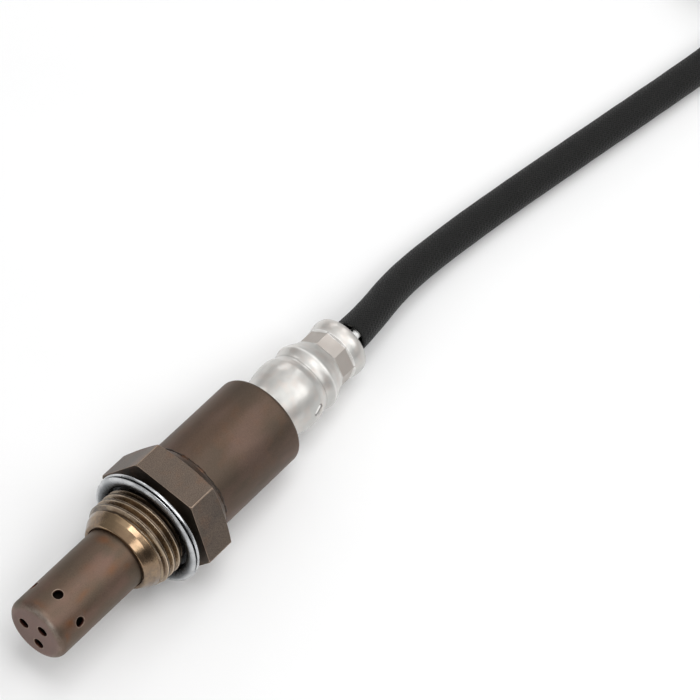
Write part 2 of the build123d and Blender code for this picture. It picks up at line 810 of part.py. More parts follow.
# ---------------------------------------------------------------- connector
plug_rear_plane = end_plane.offset(tail_wire_len)
plug_front_plane = plug_rear_plane.offset(plug_len + plug_nose_len)
cell_spots = [
    (pitch * across / 2, pitch * rise / 2) for across, rise in ((1, 1), (1, -1), (-1, -1), (-1, 1))
]
with BuildPart() as connector_housing:
    with BuildSketch(plug_rear_plane):
        RectangleRounded(plug_w, plug_h, plug_round)
    extrude(amount=plug_len)
    with BuildSketch(plug_rear_plane.offset(plug_len)):
        RectangleRounded(nose_w, nose_h, plug_nose_round)
    extrude(amount=plug_nose_len)
    # Latch: a springy arm over the top, rooted near the plug's front.
    with BuildSketch(plug_rear_plane.offset(plug_len - latch_len)):
        with Locations((0, plug_h / 2 + latch_gap + latch_t / 2)):
            RectangleRounded(latch_w, latch_t, latch_round)
    extrude(amount=latch_len)
    with BuildSketch(plug_rear_plane.offset(plug_len - latch_root)):
        with Locations((0, plug_h / 2 + latch_gap / 2)):
            Rectangle(latch_w, latch_gap + latch_t)
    extrude(amount=latch_root)
    with BuildSketch(plug_rear_plane.offset(plug_len - latch_root - latch_bump_back)):
        with Locations((0, plug_h / 2 + latch_gap + latch_t + latch_bump / 2)):
            Rectangle(latch_w / 2, latch_bump)
    extrude(amount=latch_bump_len)
    with BuildSketch(plug_rear_plane):
        with Locations(*cell_spots):
            Circle(cell_d / 2)
    extrude(amount=cell_depth, mode=Mode.SUBTRACT)
    with BuildSketch(plug_rear_plane):
        with Locations(*cell_spots):
            Rectangle(cell_slot, cell_slot)
    extrude(amount=plug_len + plug_nose_len, mode=Mode.SUBTRACT)
write(connector_housing.part, "connector_housing")

for k, (across, rise) in enumerate(cell_spots, start=1):
    wire_end = plug_rear_plane.offset(tail_wire_in)
    wire_out = plug_rear_plane.offset(-seal_out)
    start_share = wire_mouth_circle_d / 2 / hypot(across, rise)
    with BuildPart() as tail_wire:
        with BuildSketch(end_plane):
            with Locations((across * start_share, rise * start_share)):
                Circle(wire_d / 2)
        with BuildSketch(wire_out):
            with Locations((across, rise)):
                Circle(wire_d / 2)
        loft(ruled=True)
        with BuildSketch(wire_out):
            with Locations((across, rise)):
                Circle(wire_d / 2)
        extrude(amount=tail_wire_in + seal_out)
    write(tail_wire.part, f"tail_wire_{k}")

    with BuildPart() as wire_seal:
        with BuildSketch(wire_out):
            with Locations((across, rise)):
                Circle(cell_d / 2 - slip)
                Circle(wire_d / 2 + wire_fit, mode=Mode.SUBTRACT)
        extrude(amount=seal_out + seal_len)
    write(wire_seal.part, f"wire_seal_{k}")

    with BuildPart() as socket:
        socket_len = plug_len + plug_nose_len - tail_wire_in - socket_front
        with BuildSketch(wire_end):
            with Locations((across, rise)):
                Rectangle(socket_side, socket_side)
        extrude(amount=socket_len)
        with BuildSketch(plug_front_plane.offset(-socket_front)):
            with Locations((across, rise)):
                Rectangle(socket_slot_w, socket_slot_h)
        extrude(amount=-socket_slot_depth, mode=Mode.SUBTRACT)
    write(socket.part, f"connector_terminal_{k}")

with BuildPart() as face_seal:
    with BuildSketch(plug_rear_plane.offset(plug_len)):
        RectangleRounded(
            nose_w + 2 * (slip + face_seal_t),
            nose_h + 2 * (slip + face_seal_t),
            plug_nose_round + slip + face_seal_t,
        )
        RectangleRounded(
            nose_w + 2 * slip, nose_h + 2 * slip, plug_nose_round + slip, mode=Mode.SUBTRACT
        )
    extrude(amount=face_seal_w)
write(face_seal.part, "face_seal")

with BuildPart() as terminal_retainer:
    with BuildSketch(plug_front_plane):
        RectangleRounded(nose_w, nose_h, plug_nose_round)
        with Locations(*cell_spots):
            Rectangle(retainer_hole, retainer_hole, mode=Mode.SUBTRACT)
    extrude(amount=retainer_t)
write(terminal_retainer.part, "terminal_retainer")
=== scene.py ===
"""Looks of a heated exhaust oxygen sensor with its braided lead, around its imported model."""

import json
import logging
import math
from dataclasses import dataclass, field
from enum import Enum
from typing import Callable, Collection, Mapping, Sequence, Union

import bmesh
import bpy
import numpy as np
from mathutils import Matrix, Vector, noise


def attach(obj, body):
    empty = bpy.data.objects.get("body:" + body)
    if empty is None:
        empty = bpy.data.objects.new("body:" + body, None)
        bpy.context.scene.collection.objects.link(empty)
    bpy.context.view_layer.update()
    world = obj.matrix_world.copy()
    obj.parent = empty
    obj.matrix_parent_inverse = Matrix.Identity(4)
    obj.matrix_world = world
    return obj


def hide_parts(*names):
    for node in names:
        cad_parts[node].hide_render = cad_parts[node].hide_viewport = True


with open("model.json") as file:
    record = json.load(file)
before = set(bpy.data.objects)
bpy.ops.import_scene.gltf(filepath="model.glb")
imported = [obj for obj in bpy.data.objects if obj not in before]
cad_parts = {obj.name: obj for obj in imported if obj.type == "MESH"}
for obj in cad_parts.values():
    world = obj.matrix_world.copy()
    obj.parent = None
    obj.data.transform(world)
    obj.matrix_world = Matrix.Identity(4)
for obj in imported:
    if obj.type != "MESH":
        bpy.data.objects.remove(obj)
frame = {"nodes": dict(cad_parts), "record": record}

log = logging.getLogger("oxygen_sensor")

MM = 0.001
ROOT = "root"
SURFACE_Z = -11.891055  # mm, what everything lies on
LAY_MAP = "lay"  # the sleeving's UV map
SIDEWAYS = np.array((0.0, 1.0, 0.0))
EVEN = (1.0, 1.0, 1.0)  # a stretch that changes nothing

Colour = tuple[float, float, float]
Outline = list[tuple[float, float]]  # stations and radii in mm
Value = Union["Channel", float, int, Sequence[float]]


# ---------------------------------------------------------------- where things are
@dataclass(frozen=True)
class SensorAxis:
    """The sensor's own axis: stations run along it in mm, from the seat towards the lead."""

    tilt: float = math.radians(4.495514)
    seat_station: float = 5.35

    @property
    def along(self) -> np.ndarray:
        """Unit vector towards the lead."""
        return np.array((math.cos(self.tilt), 0.0, -math.sin(self.tilt)))

    @property
    def up(self) -> np.ndarray:
        """Unit vector out of the axis, at the top."""
        return np.array((math.sin(self.tilt), 0.0, math.cos(self.tilt)))

    def out(self, turn: np.ndarray) -> np.ndarray:
        """Unit vectors straight out of the axis, at turns in radians from the top towards +Y."""
        return np.cos(turn)[..., None] * self.up + np.sin(turn)[..., None] * SIDEWAYS

    def points(self, station: np.ndarray, radius: np.ndarray, turn: np.ndarray) -> np.ndarray:
        """Places points by station, radius and turn.

        Args:
            station: mm along the axis.
            radius: mm off the axis.
            turn: radians from the top towards +Y.

        Returns:
            Points in metres, with one more dimension than the inputs.
        """
        station, radius, turn = np.broadcast_arrays(station, radius, turn)
        run = (station + self.seat_station)[..., None] * self.along
        return (run + radius[..., None] * self.out(turn)) * MM

    def point(self, station: float) -> Vector:
        """Point on the axis itself, in metres."""
        return Vector(self.points(np.array(station), np.array(0.0), np.array(0.0)))


AXIS = SensorAxis()


def above(x: float, y: float, height: float) -> Vector:
    """Point in metres over the surface, from x, y and height in mm."""
    return Vector((x * MM, y * MM, (SURFACE_Z + height) * MM))


# ---------------------------------------------------------------- shader tools
class Channel:
    """A number, colour or vector that varies over a surface, with arithmetic for numbers."""

    def __init__(self, board: "Board", socket: bpy.types.NodeSocket) -> None:
        """Wraps an output socket of a board's tree."""
        self.board = board
        self.socket = socket

    def _maths(self, operation: str, *values: Value) -> "Channel":
        """Adds a Math node on these values."""
        settings = {"operation": operation}
        return self.board.node("ShaderNodeMath", settings, dict(enumerate(values)))

    def __add__(self, other: Value) -> "Channel":
        """Sum."""
        return self._maths("ADD", self, other)

    __radd__ = __add__

    def __sub__(self, other: Value) -> "Channel":
        """Difference."""
        return self._maths("SUBTRACT", self, other)

    def __rsub__(self, other: Value) -> "Channel":
        """Difference from a number."""
        return self._maths("SUBTRACT", other, self)

    def __mul__(self, other: Value) -> "Channel":
        """Product."""
        return self._maths("MULTIPLY", self, other)

    __rmul__ = __mul__

    def floor(self) -> "Channel":
        """Whole number below."""
        return self._maths("FLOOR", self)

    def fract(self) -> "Channel":
        """Part after the point."""
        return self._maths("FRACT", self)

    def sine(self) -> "Channel":
        """Sine of radians."""
        return self._maths("SINE", self)

    def size(self) -> "Channel":
        """Value without its sign."""
        return self._maths("ABSOLUTE", self)

    def over(self, other: Value) -> "Channel":
        """1 where this is the larger, and 0 elsewhere."""
        return self._maths("GREATER_THAN", self, other)

    def ramp(
        self, low: float, high: float, to_low: float = 0.0, to_high: float = 1.0
    ) -> "Channel":
        """Steps smoothly from one value to another.

        Args:
            low: where the step starts.
            high: where it ends.
            to_low: the value up to its start.
            to_high: the value from its end.

        Returns:
            The stepped value.
        """
        inputs = {0: self, 1: low, 2: high, 3: to_low, 4: to_high}
        settings = {"interpolation_type": "SMOOTHSTEP"}
        return self.board.node("ShaderNodeMapRange", settings, inputs)


class Board:
    """Node tree of a finish or of the surroundings, and the calls that lay its nodes."""

    def __init__(self, owner: Union[bpy.types.Material, bpy.types.World]) -> None:
        """Empties the node tree of a material or a world.

        Args:
            owner: the material or world.
        """
        owner.use_nodes = True
        self.tree = owner.node_tree
        self.tree.nodes.clear()

    def node(
        self,
        kind: str,
        settings: Mapping[str, object] | None = None,
        inputs: Mapping[int | str, Value] | None = None,
        output: int | str = 0,
    ) -> Channel:
        """Adds one node.

        Args:
            kind: the node's type.
            settings: its own properties, set first; "stops" holds a ramp's places and colours.
            inputs: values or channels for its sockets, by name or number.
            output: the socket that is handed back.

        Returns:
            The chosen output.
        """
        node = self.tree.nodes.new(kind)
        for key, value in (settings or {}).items():
            if key == "stops":
                self._set_stops(node.color_ramp, value)
            else:
                setattr(node, key, value)
        for key, value in (inputs or {}).items():
            self._feed(node.inputs[key], value)
        return Channel(self, node.outputs[output] if node.outputs else None)

    def _feed(self, socket: bpy.types.NodeSocket, value: Value) -> None:
        """Links a channel to a socket, or sets its value.

        Args:
            socket: the input socket.
            value: a channel, a number, a vector, or a colour without its alpha.
        """
        if isinstance(value, Channel):
            self.tree.links.new(value.socket, socket)
        elif socket.type == "RGBA":
            socket.default_value = (*value, 1.0)
        else:
            socket.default_value = value

    @staticmethod
    def _set_stops(ramp: bpy.types.ColorRamp, stops: Sequence[tuple[float, Colour]]) -> None:
        """Gives a colour ramp its stops.

        Args:
            ramp: the ramp.
            stops: a place from 0 to 1 and a colour for each stop.
        """
        while len(ramp.elements) < len(stops):
            ramp.elements.new(0.5)
        for element, (place, colour) in zip(ramp.elements, stops):
            element.position = place
            element.color = (*colour, 1.0)

    def blend(self, share: Value, first: Value, second: Value, kind: str = "MIX") -> Channel:
        """Mixes two colours by a share."""
        settings = {"data_type": "RGBA", "blend_type": kind}
        return self.node("ShaderNodeMix", settings, {0: share, 6: first, 7: second}, 2)

    def layers(self, base: Value, *coats: tuple[Value, Value]) -> Channel:
        """Lays coats of colour over a base.

        Args:
            base: the colour underneath.
            coats: each coat's share and colour, from the lowest up.

        Returns:
            The colour that is seen.
        """
        for share, colour in coats:
            base = self.blend(share, base, colour)
        return base

    def grey(self, value: Channel) -> Channel:
        """A number as a grey colour."""
        return self.node("ShaderNodeCombineColor", inputs={0: value, 1: value, 2: value})

    def place(self, scale: Sequence[float]) -> Channel:
        """Finds the position in mm, with X along the sensor's axis.

        Args:
            scale: factors on its three parts.

        Returns:
            The position as a vector.
        """
        found = self.node("ShaderNodeTexCoord", output="Object")
        level = {0: found, 2: (0.0, -AXIS.tilt, 0.0)}
        turned = self.node("ShaderNodeMapping", {"vector_type": "POINT"}, level)
        in_mm = {0: turned, 1: tuple(s / MM for s in scale)}
        return self.node("ShaderNodeVectorMath", {"operation": "MULTIPLY"}, in_mm)

    def parts(self, vector: Value) -> tuple[Channel, ...]:
        """The three parts of a vector."""
        split = self.node("ShaderNodeSeparateXYZ", inputs={0: vector})
        return tuple(Channel(self, output) for output in split.socket.node.outputs)

    def cloud(
        self, scale: float, detail: float = 2.0, stretch: Sequence[float] = EVEN
    ) -> Channel:
        """Lays soft noise from 0 to 1.

        Args:
            scale: how many blots there are to a millimetre.
            detail: octaves of finer noise.
            stretch: factors on the three directions, the first along the axis.

        Returns:
            The noise.
        """
        inputs = {"Vector": self.place(stretch), "Scale": scale, "Detail": detail}
        return self.node("ShaderNodeTexNoise", inputs=inputs)

    def mark(self, name: str) -> Channel:
        """A number that the mesh carries at its points."""
        return self.node("ShaderNodeAttribute", {"attribute_name": name}, output="Fac")

    def bump(self, height: Value, depth: float, strength: float = 1.0) -> Channel:
        """Normal that a height in depths of so many mm gives."""
        inputs = {"Strength": strength, "Distance": depth * MM, "Height": height}
        return self.node("ShaderNodeBump", inputs=inputs)

    def surface(self, **sockets: Value) -> None:
        """Ends the tree in a Principled shader.

        Args:
            sockets: its inputs, with spaces in their names as underscores.
        """
        named = {key.replace("_", " "): value for key, value in sockets.items()}
        shader = self.node("ShaderNodeBsdfPrincipled", inputs=named)
        self.node("ShaderNodeOutputMaterial", inputs={0: shader})


# ---------------------------------------------------------------- finishes
@dataclass(frozen=True)
class TintedSteel:
    """Stainless steel that heat has turned brown, with soft blots and a fine grain, and painted
    highlights on punched rims and rounded edges.
    """

    name: str
    base: Colour
    cool: Colour
    warm: Colour
    roughness: float = 0.42
    blots: float = 0.11
    grain: float = 6.0
    grain_depth: float = 0.006
    grain_shade: tuple[float, float] = (0.84, 1.12)
    bands: float = 0.0
    rust: Colour = (0.20, 0.090, 0.045)
    rust_share: float = 0.3
    # colour of the painted highlight on the rims of punched holes
    rim: Colour = (0.31, 0.235, 0.185)
    # colour of the painted highlight along the protection tube's rounded edge
    worn: Colour = (0.50, 0.43, 0.37)
    bore: Colour = (0.105, 0.040, 0.030)
    end: Colour = (0.205, 0.138, 0.122)

    def paint(self, board: Board) -> None:
        """Lays the finish; a mesh may carry marks of rust, the end face's tone, painted highlights
        on rims and along a rounded edge, and the bore.

        Args:
            board: the material's own.
        """
        wide = board.cloud(self.blots, 1.5, (0.5, 1.0, 1.0)).ramp(0.38, 0.62)
        other = board.cloud(self.blots * 1.9, 2.0, (0.35, 1.0, 1.0)).ramp(0.42, 0.66)
        fine = board.cloud(self.grain)
        coats = [(wide, self.cool), (other * 0.75, self.warm)]
        if self.bands:
            ring = board.cloud(self.bands, 1.0, (1.0, 0.05, 0.05)).ramp(0.35, 0.65)
            coats.append((ring * 0.35, self.cool))
        spots = board.cloud(0.36, 2.5, (0.8, 1.0, 1.0))
        streaky = board.cloud(0.7, 3.0, (3.0, 0.8, 0.8)).ramp(0.35, 0.7)
        # painted highlight on punched rims, patchy; it also lowers the roughness
        rim = board.mark("rim") * spots.ramp(0.3, 0.6, 0.35, 0.75)
        # painted highlight along a rounded edge, made streaky by noise; it also lowers the
        # roughness
        worn = board.mark("worn") * (streaky * 0.5 + 0.4)
        colour = board.layers(
            self.base,
            *coats,
            (spots.ramp(0.5, 0.72) * self.rust_share, self.rust),
            (board.mark("rust") * spots.ramp(0.3, 0.6, 0.35, 1.0), self.rust),
            (board.mark("end") * 0.75, self.end),
            (rim, self.rim),
            (worn, self.worn),
            (board.mark("bore"), self.bore),
        )
        shade = board.grey(fine.ramp(0.3, 0.7, *self.grain_shade))
        rough = fine.ramp(0.3, 0.75, self.roughness - 0.05, self.roughness + 0.07)
        board.surface(
            Base_Color=board.blend(1.0, colour, shade, "MULTIPLY"),
            Metallic=1.0,
            Roughness=rough + wide * 0.04 - rim * 0.1 - worn * 0.14,
            Normal=board.bump(fine, self.grain_depth),
        )


@dataclass(frozen=True)
class TurnedBronze:
    """Turned steel of nose and thread, straw and bronze coloured, with painted shade down in the
    thread and low on the sides, and painted highlights on the crest edges.
    """

    name: str = "housing_steel"
    light: Colour = (0.37, 0.26, 0.16)
    brown: Colour = (0.27, 0.18, 0.115)
    flank: Colour = (0.33, 0.26, 0.18)
    ruddy: Colour = (0.17, 0.115, 0.08)
    # colour of the painted shade at the thread's roots
    root: Colour = (0.055, 0.043, 0.035)
    land: Colour = (0.06, 0.041, 0.031)
    # colour of the painted highlights along the thread's crest edges
    crest: Colour = (0.66, 0.54, 0.41)
    # the dull grey of the painted shade low on the sides
    grey: Colour = (0.12, 0.108, 0.10)

    def paint(self, board: Board) -> None:
        """Lays the finish; the mesh carries depth for painted shade in the thread, crest for
        painted highlights on its edges, land, and a mark of painted shade low on the sides.

        Args:
            board: the material's own.
        """
        blot = board.cloud(0.33).ramp(0.36, 0.62)
        streak = board.cloud(0.8, 3.0, (1.6, 0.5, 0.5)).ramp(0.3, 0.7)
        cut = board.cloud(3.2, 2.0, (4.0, 0.06, 0.06))
        mottle = board.cloud(1.6, 3.0).ramp(0.35, 0.65)
        depth, land = board.mark("depth"), board.mark("land")
        colour = board.layers(
            self.light,
            (blot * 0.75, self.brown),
            (depth.ramp(0.0, 0.4), board.blend(streak * 0.8, self.flank, self.ruddy)),
            # painted shade at the thread's roots, broken up by noise
            (depth.ramp(0.55, 1.0) * (mottle * 0.25 + 0.75), self.root),
            (land * (mottle * 0.3 + 0.7), self.land),
            # painted highlights along the crest edges
            (board.mark("crest") * streak.ramp(0.1, 0.8, 0.5, 1.0), self.crest),
            # painted shade low on the sides and near the thread's front, broken up by noise
            (board.mark("run_in") * (mottle * 0.5 + 0.5), self.grey),
        )
        board.surface(
            Base_Color=colour,
            Metallic=1.0,
            Roughness=streak.ramp(0.2, 0.9, 0.15, 0.24) + depth * 0.16 + land * 0.2,
            Normal=board.bump(cut + streak * 0.3, 0.012, 0.8),
        )


@dataclass(frozen=True)
class FoldedSheet:
    """Bright folded steel sheet of the crush gasket, with painted shade, broken into dark specks,
    down inside the fold.
    """

    name: str = "gasket_steel"
    bright: Colour = (0.58, 0.59, 0.60)
    # dull and dark colour the painted shade that deepens towards the bore; dull also tints random
    # smears
    dull: Colour = (0.20, 0.21, 0.22)
    dark: Colour = (0.022, 0.023, 0.024)

    def paint(self, board: Board) -> None:
        """Lays the finish; the mesh carries depth, 0 on the crest and 1 at the bore, which lays
        painted shade down inside the fold.

        Args:
            board: the material's own.
        """
        depth = board.mark("depth")
        speck = board.cloud(2.6, 4.0).ramp(0.46, 0.6)
        smear = board.cloud(0.45, 2.0, (0.6, 1.0, 1.0)).ramp(0.35, 0.7)
        lines = board.cloud(4.0, 2.0, (3.0, 0.2, 0.2))
        # painted shade inside the fold, broken into specks
        speckled_shade = depth.ramp(0.25, 0.8) * speck.ramp(0.0, 1.0, 0.55, 1.0)
        colour = board.layers(
            self.bright,
            (smear * 0.35, self.dull),
            (depth.ramp(0.0, 0.35) * 0.85, self.dull),
            (speckled_shade * 0.93, self.dark),
        )
        board.surface(
            Base_Color=colour,
            Metallic=1.0,
            Roughness=smear.ramp(0.0, 1.0, 0.22, 0.34) + depth * 0.18,
            Normal=board.bump(lines + speck * 0.3, 0.01, 0.7),
        )


@dataclass(frozen=True)
class SatinTube:
    """Pale satin steel of the crimped tail, with soft scuffs, a darker pink tone where the crimping
    tool pressed, painted shade in the crease, round the slot and on a bulge's rear slope, and
    painted highlights.
    """

    name: str = "tube_steel"
    pale: Colour = (0.62, 0.60, 0.57)
    cool: Colour = (0.51, 0.505, 0.485)
    warm: Colour = (0.58, 0.51, 0.465)
    # colour of the painted shade in the crease and round the slot's rim
    line: Colour = (0.16, 0.155, 0.15)
    # darker pink of the pressed flats, also used for the painted shade on the second bulge's rear
    # slope
    press: Colour = (0.43, 0.385, 0.35)
    # colour of the painted highlights on the waist's ledge, the second bulge's ridge and the slot's
    # middle
    shine: Colour = (0.96, 0.95, 0.93)

    def paint(self, board: Board) -> None:
        """Lays the finish; the mesh carries crease for painted shade, a mark for the pressed flats'
        tone and painted shade, and shine for painted highlights.

        Args:
            board: the material's own.
        """
        soft = board.cloud(0.22).ramp(0.35, 0.65)
        blush = board.cloud(0.4, 2.5, (1.3, 1.0, 1.0)).ramp(0.45, 0.7)
        fine = board.cloud(7.0)
        scuff = board.cloud(0.9, 4.0, (0.7, 1.2, 1.2)).ramp(0.52, 0.68)
        press, shine = board.mark("press"), board.mark("shine")
        colour = board.layers(
            self.pale,
            (soft, self.cool),
            (blush * 0.5, self.warm),
            (scuff * 0.4, self.cool),
            (press * 0.8, self.press),
            # painted shade in the crease and round the slot's rim
            (board.mark("crease"), self.line),
            (shine, self.shine),
        )
        board.surface(
            Base_Color=colour,
            Metallic=0.62 - shine * 0.45,
            Roughness=soft.ramp(0.0, 1.0, 0.36, 0.44) - scuff * 0.05 + press * 0.06,
            Coat_Weight=0.55 - press * 0.4,
            Coat_Roughness=0.1,
            Normal=board.bump(fine + scuff * 0.6, 0.006, 0.8),
        )


@dataclass(frozen=True)
class FineBraid:
    """Tight black textile braid: strands that cross over and under, with a matt, fuzzy face."""

    name: str = "braid"
    carriers: int = 34
    pitch: float = 20.5
    stitches: int = 11
    hem_at: float = 0.45
    low: Colour = (0.003, 0.003, 0.003)
    high: Colour = (0.0165, 0.0165, 0.0158)
    fuzz: Colour = (0.035, 0.035, 0.034)
    hem: Colour = (0.10, 0.10, 0.09)

    def paint(self, board: Board) -> None:
        """Lays the finish; the mesh's UV map holds the turn and the length in mm.

        Args:
            board: the material's own.
        """
        turn, run, _ = board.parts(board.node("ShaderNodeUVMap", {"uv_map": LAY_MAP}))
        around, along = turn * self.carriers, run * (self.carriers / self.pitch)
        left, right = around + along, around - along
        top = (((left * 0.5).floor() + right.floor()) * 0.5).fract().over(0.25)
        left_crown, right_crown = ((way.fract() * math.pi).sine() for way in (left, right))
        crown = top * left_crown + (1.0 - top) * right_crown
        strands = ((left * 3.0 + top * 0.5) * math.pi).sine().size()
        height = crown * (strands * 0.25 + 0.75)
        cloth = board.cloud(0.5, 3.0).ramp(0.3, 0.7)
        hair = board.cloud(5.0, 3.0).ramp(0.62, 0.75)
        stitch = (turn * (math.tau * self.stitches)).sine().ramp(-0.2, 0.4)
        hem = (run - self.hem_at).size().ramp(0.1, 0.32, 1.0, 0.0)
        colour = board.layers(
            self.low,
            (height.ramp(0.2, 1.0) * (cloth * 0.35 + 0.65), self.high),
            (hair * 0.35, self.fuzz),
            (hem * stitch * 0.5, self.hem),
        )
        board.surface(
            Base_Color=colour,
            Roughness=height.ramp(0.0, 1.0, 0.85, 0.62),
            Sheen_Weight=0.08,
            Sheen_Roughness=0.4,
            Specular_IOR_Level=0.25,
            Normal=board.bump(height, 0.09),
        )


@dataclass(frozen=True)
class Moulding:
    """Moulded plastic or rubber with a fine spark-eroded grain and faint flow marks."""

    name: str
    colour: Colour
    patch: Colour
    roughness: float
    grain: float
    depth: float

    def paint(self, board: Board) -> None:
        """Lays the finish.

        Args:
            board: the material's own.
        """
        fine = board.cloud(self.grain, 3.0)
        flow = board.cloud(0.12, 2.0, (0.4, 1.0, 1.0)).ramp(0.35, 0.7)
        board.surface(
            Base_Color=board.blend(flow * 0.6 + fine * 0.25, self.colour, self.patch),
            Roughness=fine.ramp(0.3, 0.7, self.roughness - 0.06, self.roughness + 0.08),
            Normal=board.bump(fine, self.depth),
        )


@dataclass(frozen=True)
class PlainMetal:
    """Drawn or plated metal of the inner pieces, with fine lines and a few dull patches."""

    name: str
    colour: Colour
    patch: Colour
    roughness: float

    def paint(self, board: Board) -> None:
        """Lays the finish.

        Args:
            board: the material's own.
        """
        lines = board.cloud(5.0, 2.0, (0.3, 2.0, 2.0))
        dull = board.cloud(0.5, 3.0).ramp(0.45, 0.7)
        rough = lines.ramp(0.3, 0.7, self.roughness - 0.05, self.roughness + 0.08)
        board.surface(
            Base_Color=board.blend(dull * 0.5, self.colour, self.patch),
            Metallic=1.0,
            Roughness=rough + dull * 0.1,
            Normal=board.bump(lines, 0.006),
        )


@dataclass(frozen=True)
class FiredClay:
    """Sintered ceramic or pressed powder: matt, with tiny pits and faint stains."""

    name: str
    colour: Colour
    stain: Colour
    roughness: float
    pits: float = 4.0

    def paint(self, board: Board) -> None:
        """Lays the finish.

        Args:
            board: the material's own.
        """
        pit = board.cloud(self.pits, 4.0).ramp(0.35, 0.5)
        stain = board.cloud(0.25, 3.0).ramp(0.5, 0.75)
        coats = (stain * 0.5, self.stain), ((1.0 - pit) * 0.35, self.stain)
        board.surface(
            Base_Color=board.layers(self.colour, *coats),
            Roughness=pit.ramp(0.0, 1.0, self.roughness + 0.1, self.roughness),
            Normal=board.bump(pit, 0.015),
        )


class Finish(Enum):
    """Every finish of the sensor. Most carry the name of the record's slot that they dress."""

    SHIELD = TintedSteel(
        "shield_steel", (0.150, 0.105, 0.078), (0.112, 0.094, 0.070), (0.205, 0.126, 0.100),
        roughness=0.52, bands=0.16, rust_share=0.1,
    )
    SLEEVE = TintedSteel(
        "sleeve_steel", (0.128, 0.087, 0.064), (0.112, 0.084, 0.064), (0.158, 0.106, 0.085),
        roughness=0.5, rust_share=0.12,
    )
    HEXAGON = TintedSteel(
        "hexagon_steel", (0.132, 0.102, 0.082), (0.112, 0.091, 0.076), (0.146, 0.112, 0.088),
        roughness=0.46, grain_depth=0.02, grain_shade=(0.68, 1.3), rust_share=0.25,
    )
    # lighter steel of the rounded hexagon edges: worn edges, and painted highlight along them
    HEX_EDGE = TintedSteel(
        "hexagon_edge", (0.40, 0.31, 0.24), (0.24, 0.19, 0.15), (0.46, 0.34, 0.26), roughness=0.4
    )
    WELD = TintedSteel(
        "weld_steel", (0.020, 0.016, 0.014), (0.075, 0.06, 0.05), (0.05, 0.033, 0.024),
        roughness=0.5, grain_depth=0.02, grain_shade=(0.5, 1.5), rust_share=0.4,
    )
    NOSE = TurnedBronze()
    GASKET = FoldedSheet()
    TUBE = SatinTube()
    BRAID = FineBraid()
    # near black: painted shade of the pieces inside the protection tube
    INNER = PlainMetal("inner_steel", (0.012, 0.009, 0.007), (0.007, 0.005, 0.004), 0.6)
    CONTACT = PlainMetal("contact_metal", (0.75, 0.74, 0.70), (0.55, 0.54, 0.50), 0.25)
    ZIRCONIA = FiredClay("zirconia", (0.88, 0.86, 0.80), (0.55, 0.52, 0.46), 0.5)
    ALUMINA = FiredClay("alumina", (0.90, 0.89, 0.86), (0.62, 0.58, 0.52), 0.55)
    TALC = FiredClay("talc", (0.72, 0.72, 0.68), (0.45, 0.45, 0.42), 0.85, 2.5)
    PTFE = FiredClay("ptfe", (0.88, 0.88, 0.86), (0.70, 0.70, 0.68), 0.7, 6.0)
    GROMMET = Moulding("grommet_rubber", (0.012,) * 3, (0.022, 0.022, 0.021), 0.6, 4.0, 0.02)
    WHITE_WIRE = Moulding("wire_white", (0.95, 0.95, 0.94), (0.90, 0.90, 0.88), 0.35, 3.0, 0.01)
    BLACK_WIRE = Moulding("wire_black", (0.008,) * 3, (0.016,) * 3, 0.32, 3.0, 0.01)
    TIE = Moulding("tie_nylon", (0.014,) * 3, (0.024, 0.024, 0.023), 0.4, 3.0, 0.01)
    BAND = Moulding("band_shrink", (0.011,) * 3, (0.020,) * 3, 0.5, 2.0, 0.03)
    CONNECTOR = Moulding(
        "connector_nylon", (0.030, 0.030, 0.032), (0.045, 0.045, 0.047), 0.5, 6.0, 0.014
    )
    SEAL = Moulding("seal_silicone", (0.30, 0.075, 0.02), (0.22, 0.05, 0.015), 0.5, 3.0, 0.015)
    RETAINER = Moulding(
        "retainer_nylon", (0.62, 0.62, 0.58), (0.50, 0.50, 0.47), 0.45, 5.0, 0.012
    )

    def material(self) -> bpy.types.Material:
        """Finds the finish's material, or makes it at its first use.

        Returns:
            The material.
        """
        name = self.value.name + "_finish"
        found = bpy.data.materials.get(name)
        if found is None:
            found = bpy.data.materials.new(name)
            self.value.paint(Board(found))
        return found


# ---------------------------------------------------------------- number tools
def fade(values: np.ndarray, zero: float, one: float) -> np.ndarray:
    """Share that goes evenly from 0 at one value to 1 at another, and is held beyond them."""
    return np.clip((values - zero) / (one - zero), 0.0, 1.0)


def smooth(share: np.ndarray) -> np.ndarray:
    """Share from 0 to 1, eased at both ends."""
    return share * share * (3 - 2 * share)


def hump(values: np.ndarray, middle: float, width: float) -> np.ndarray:
    """Bell curve of height 1."""
    return np.exp(-(((values - middle) / width) ** 2))


def nearest(values: np.ndarray, period: float) -> np.ndarray:
    """Distance to the nearest whole number of periods."""
    return np.abs((values / period + 0.5) % 1.0 - 0.5) * period


def aside(turn: np.ndarray, middle: float) -> np.ndarray:
    """Degrees from -180 to 180 between a middle, in degrees, and turns in radians."""
    return (np.degrees(turn) - middle + 180.0) % 360.0 - 180.0


def turns(count: int, start: float = 0.0) -> np.ndarray:
    """Evenly spaced turns in radians, as one row."""
    return (start + np.arange(count) * math.tau / count)[None, :]


def arc(
    centre: Sequence[float], radius: float, first: float, last: float, steps: int
) -> Outline:
    """Points of an arc of an outline, from and to angles in degrees from the axis's direction."""
    angles = np.radians(np.linspace(first, last, steps + 1))
    return [(centre[0] + radius * math.cos(a), centre[1] + radius * math.sin(a)) for a in angles]


def refine(outline: Outline, step: float) -> np.ndarray:
    """Divides the runs of an outline.

    Args:
        outline: its stations and radii.
        step: mm that no run is longer than afterwards.

    Returns:
        The stations and the radii, as two rows.
    """
    made: Outline = []
    for first, last in zip(outline, outline[1:]):
        parts = max(1, math.ceil(math.dist(first, last) / step))
        for share in np.arange(parts) / parts:
            made.append(tuple(a + (b - a) * share for a, b in zip(first, last)))
    return np.array([*made, outline[-1]]).T


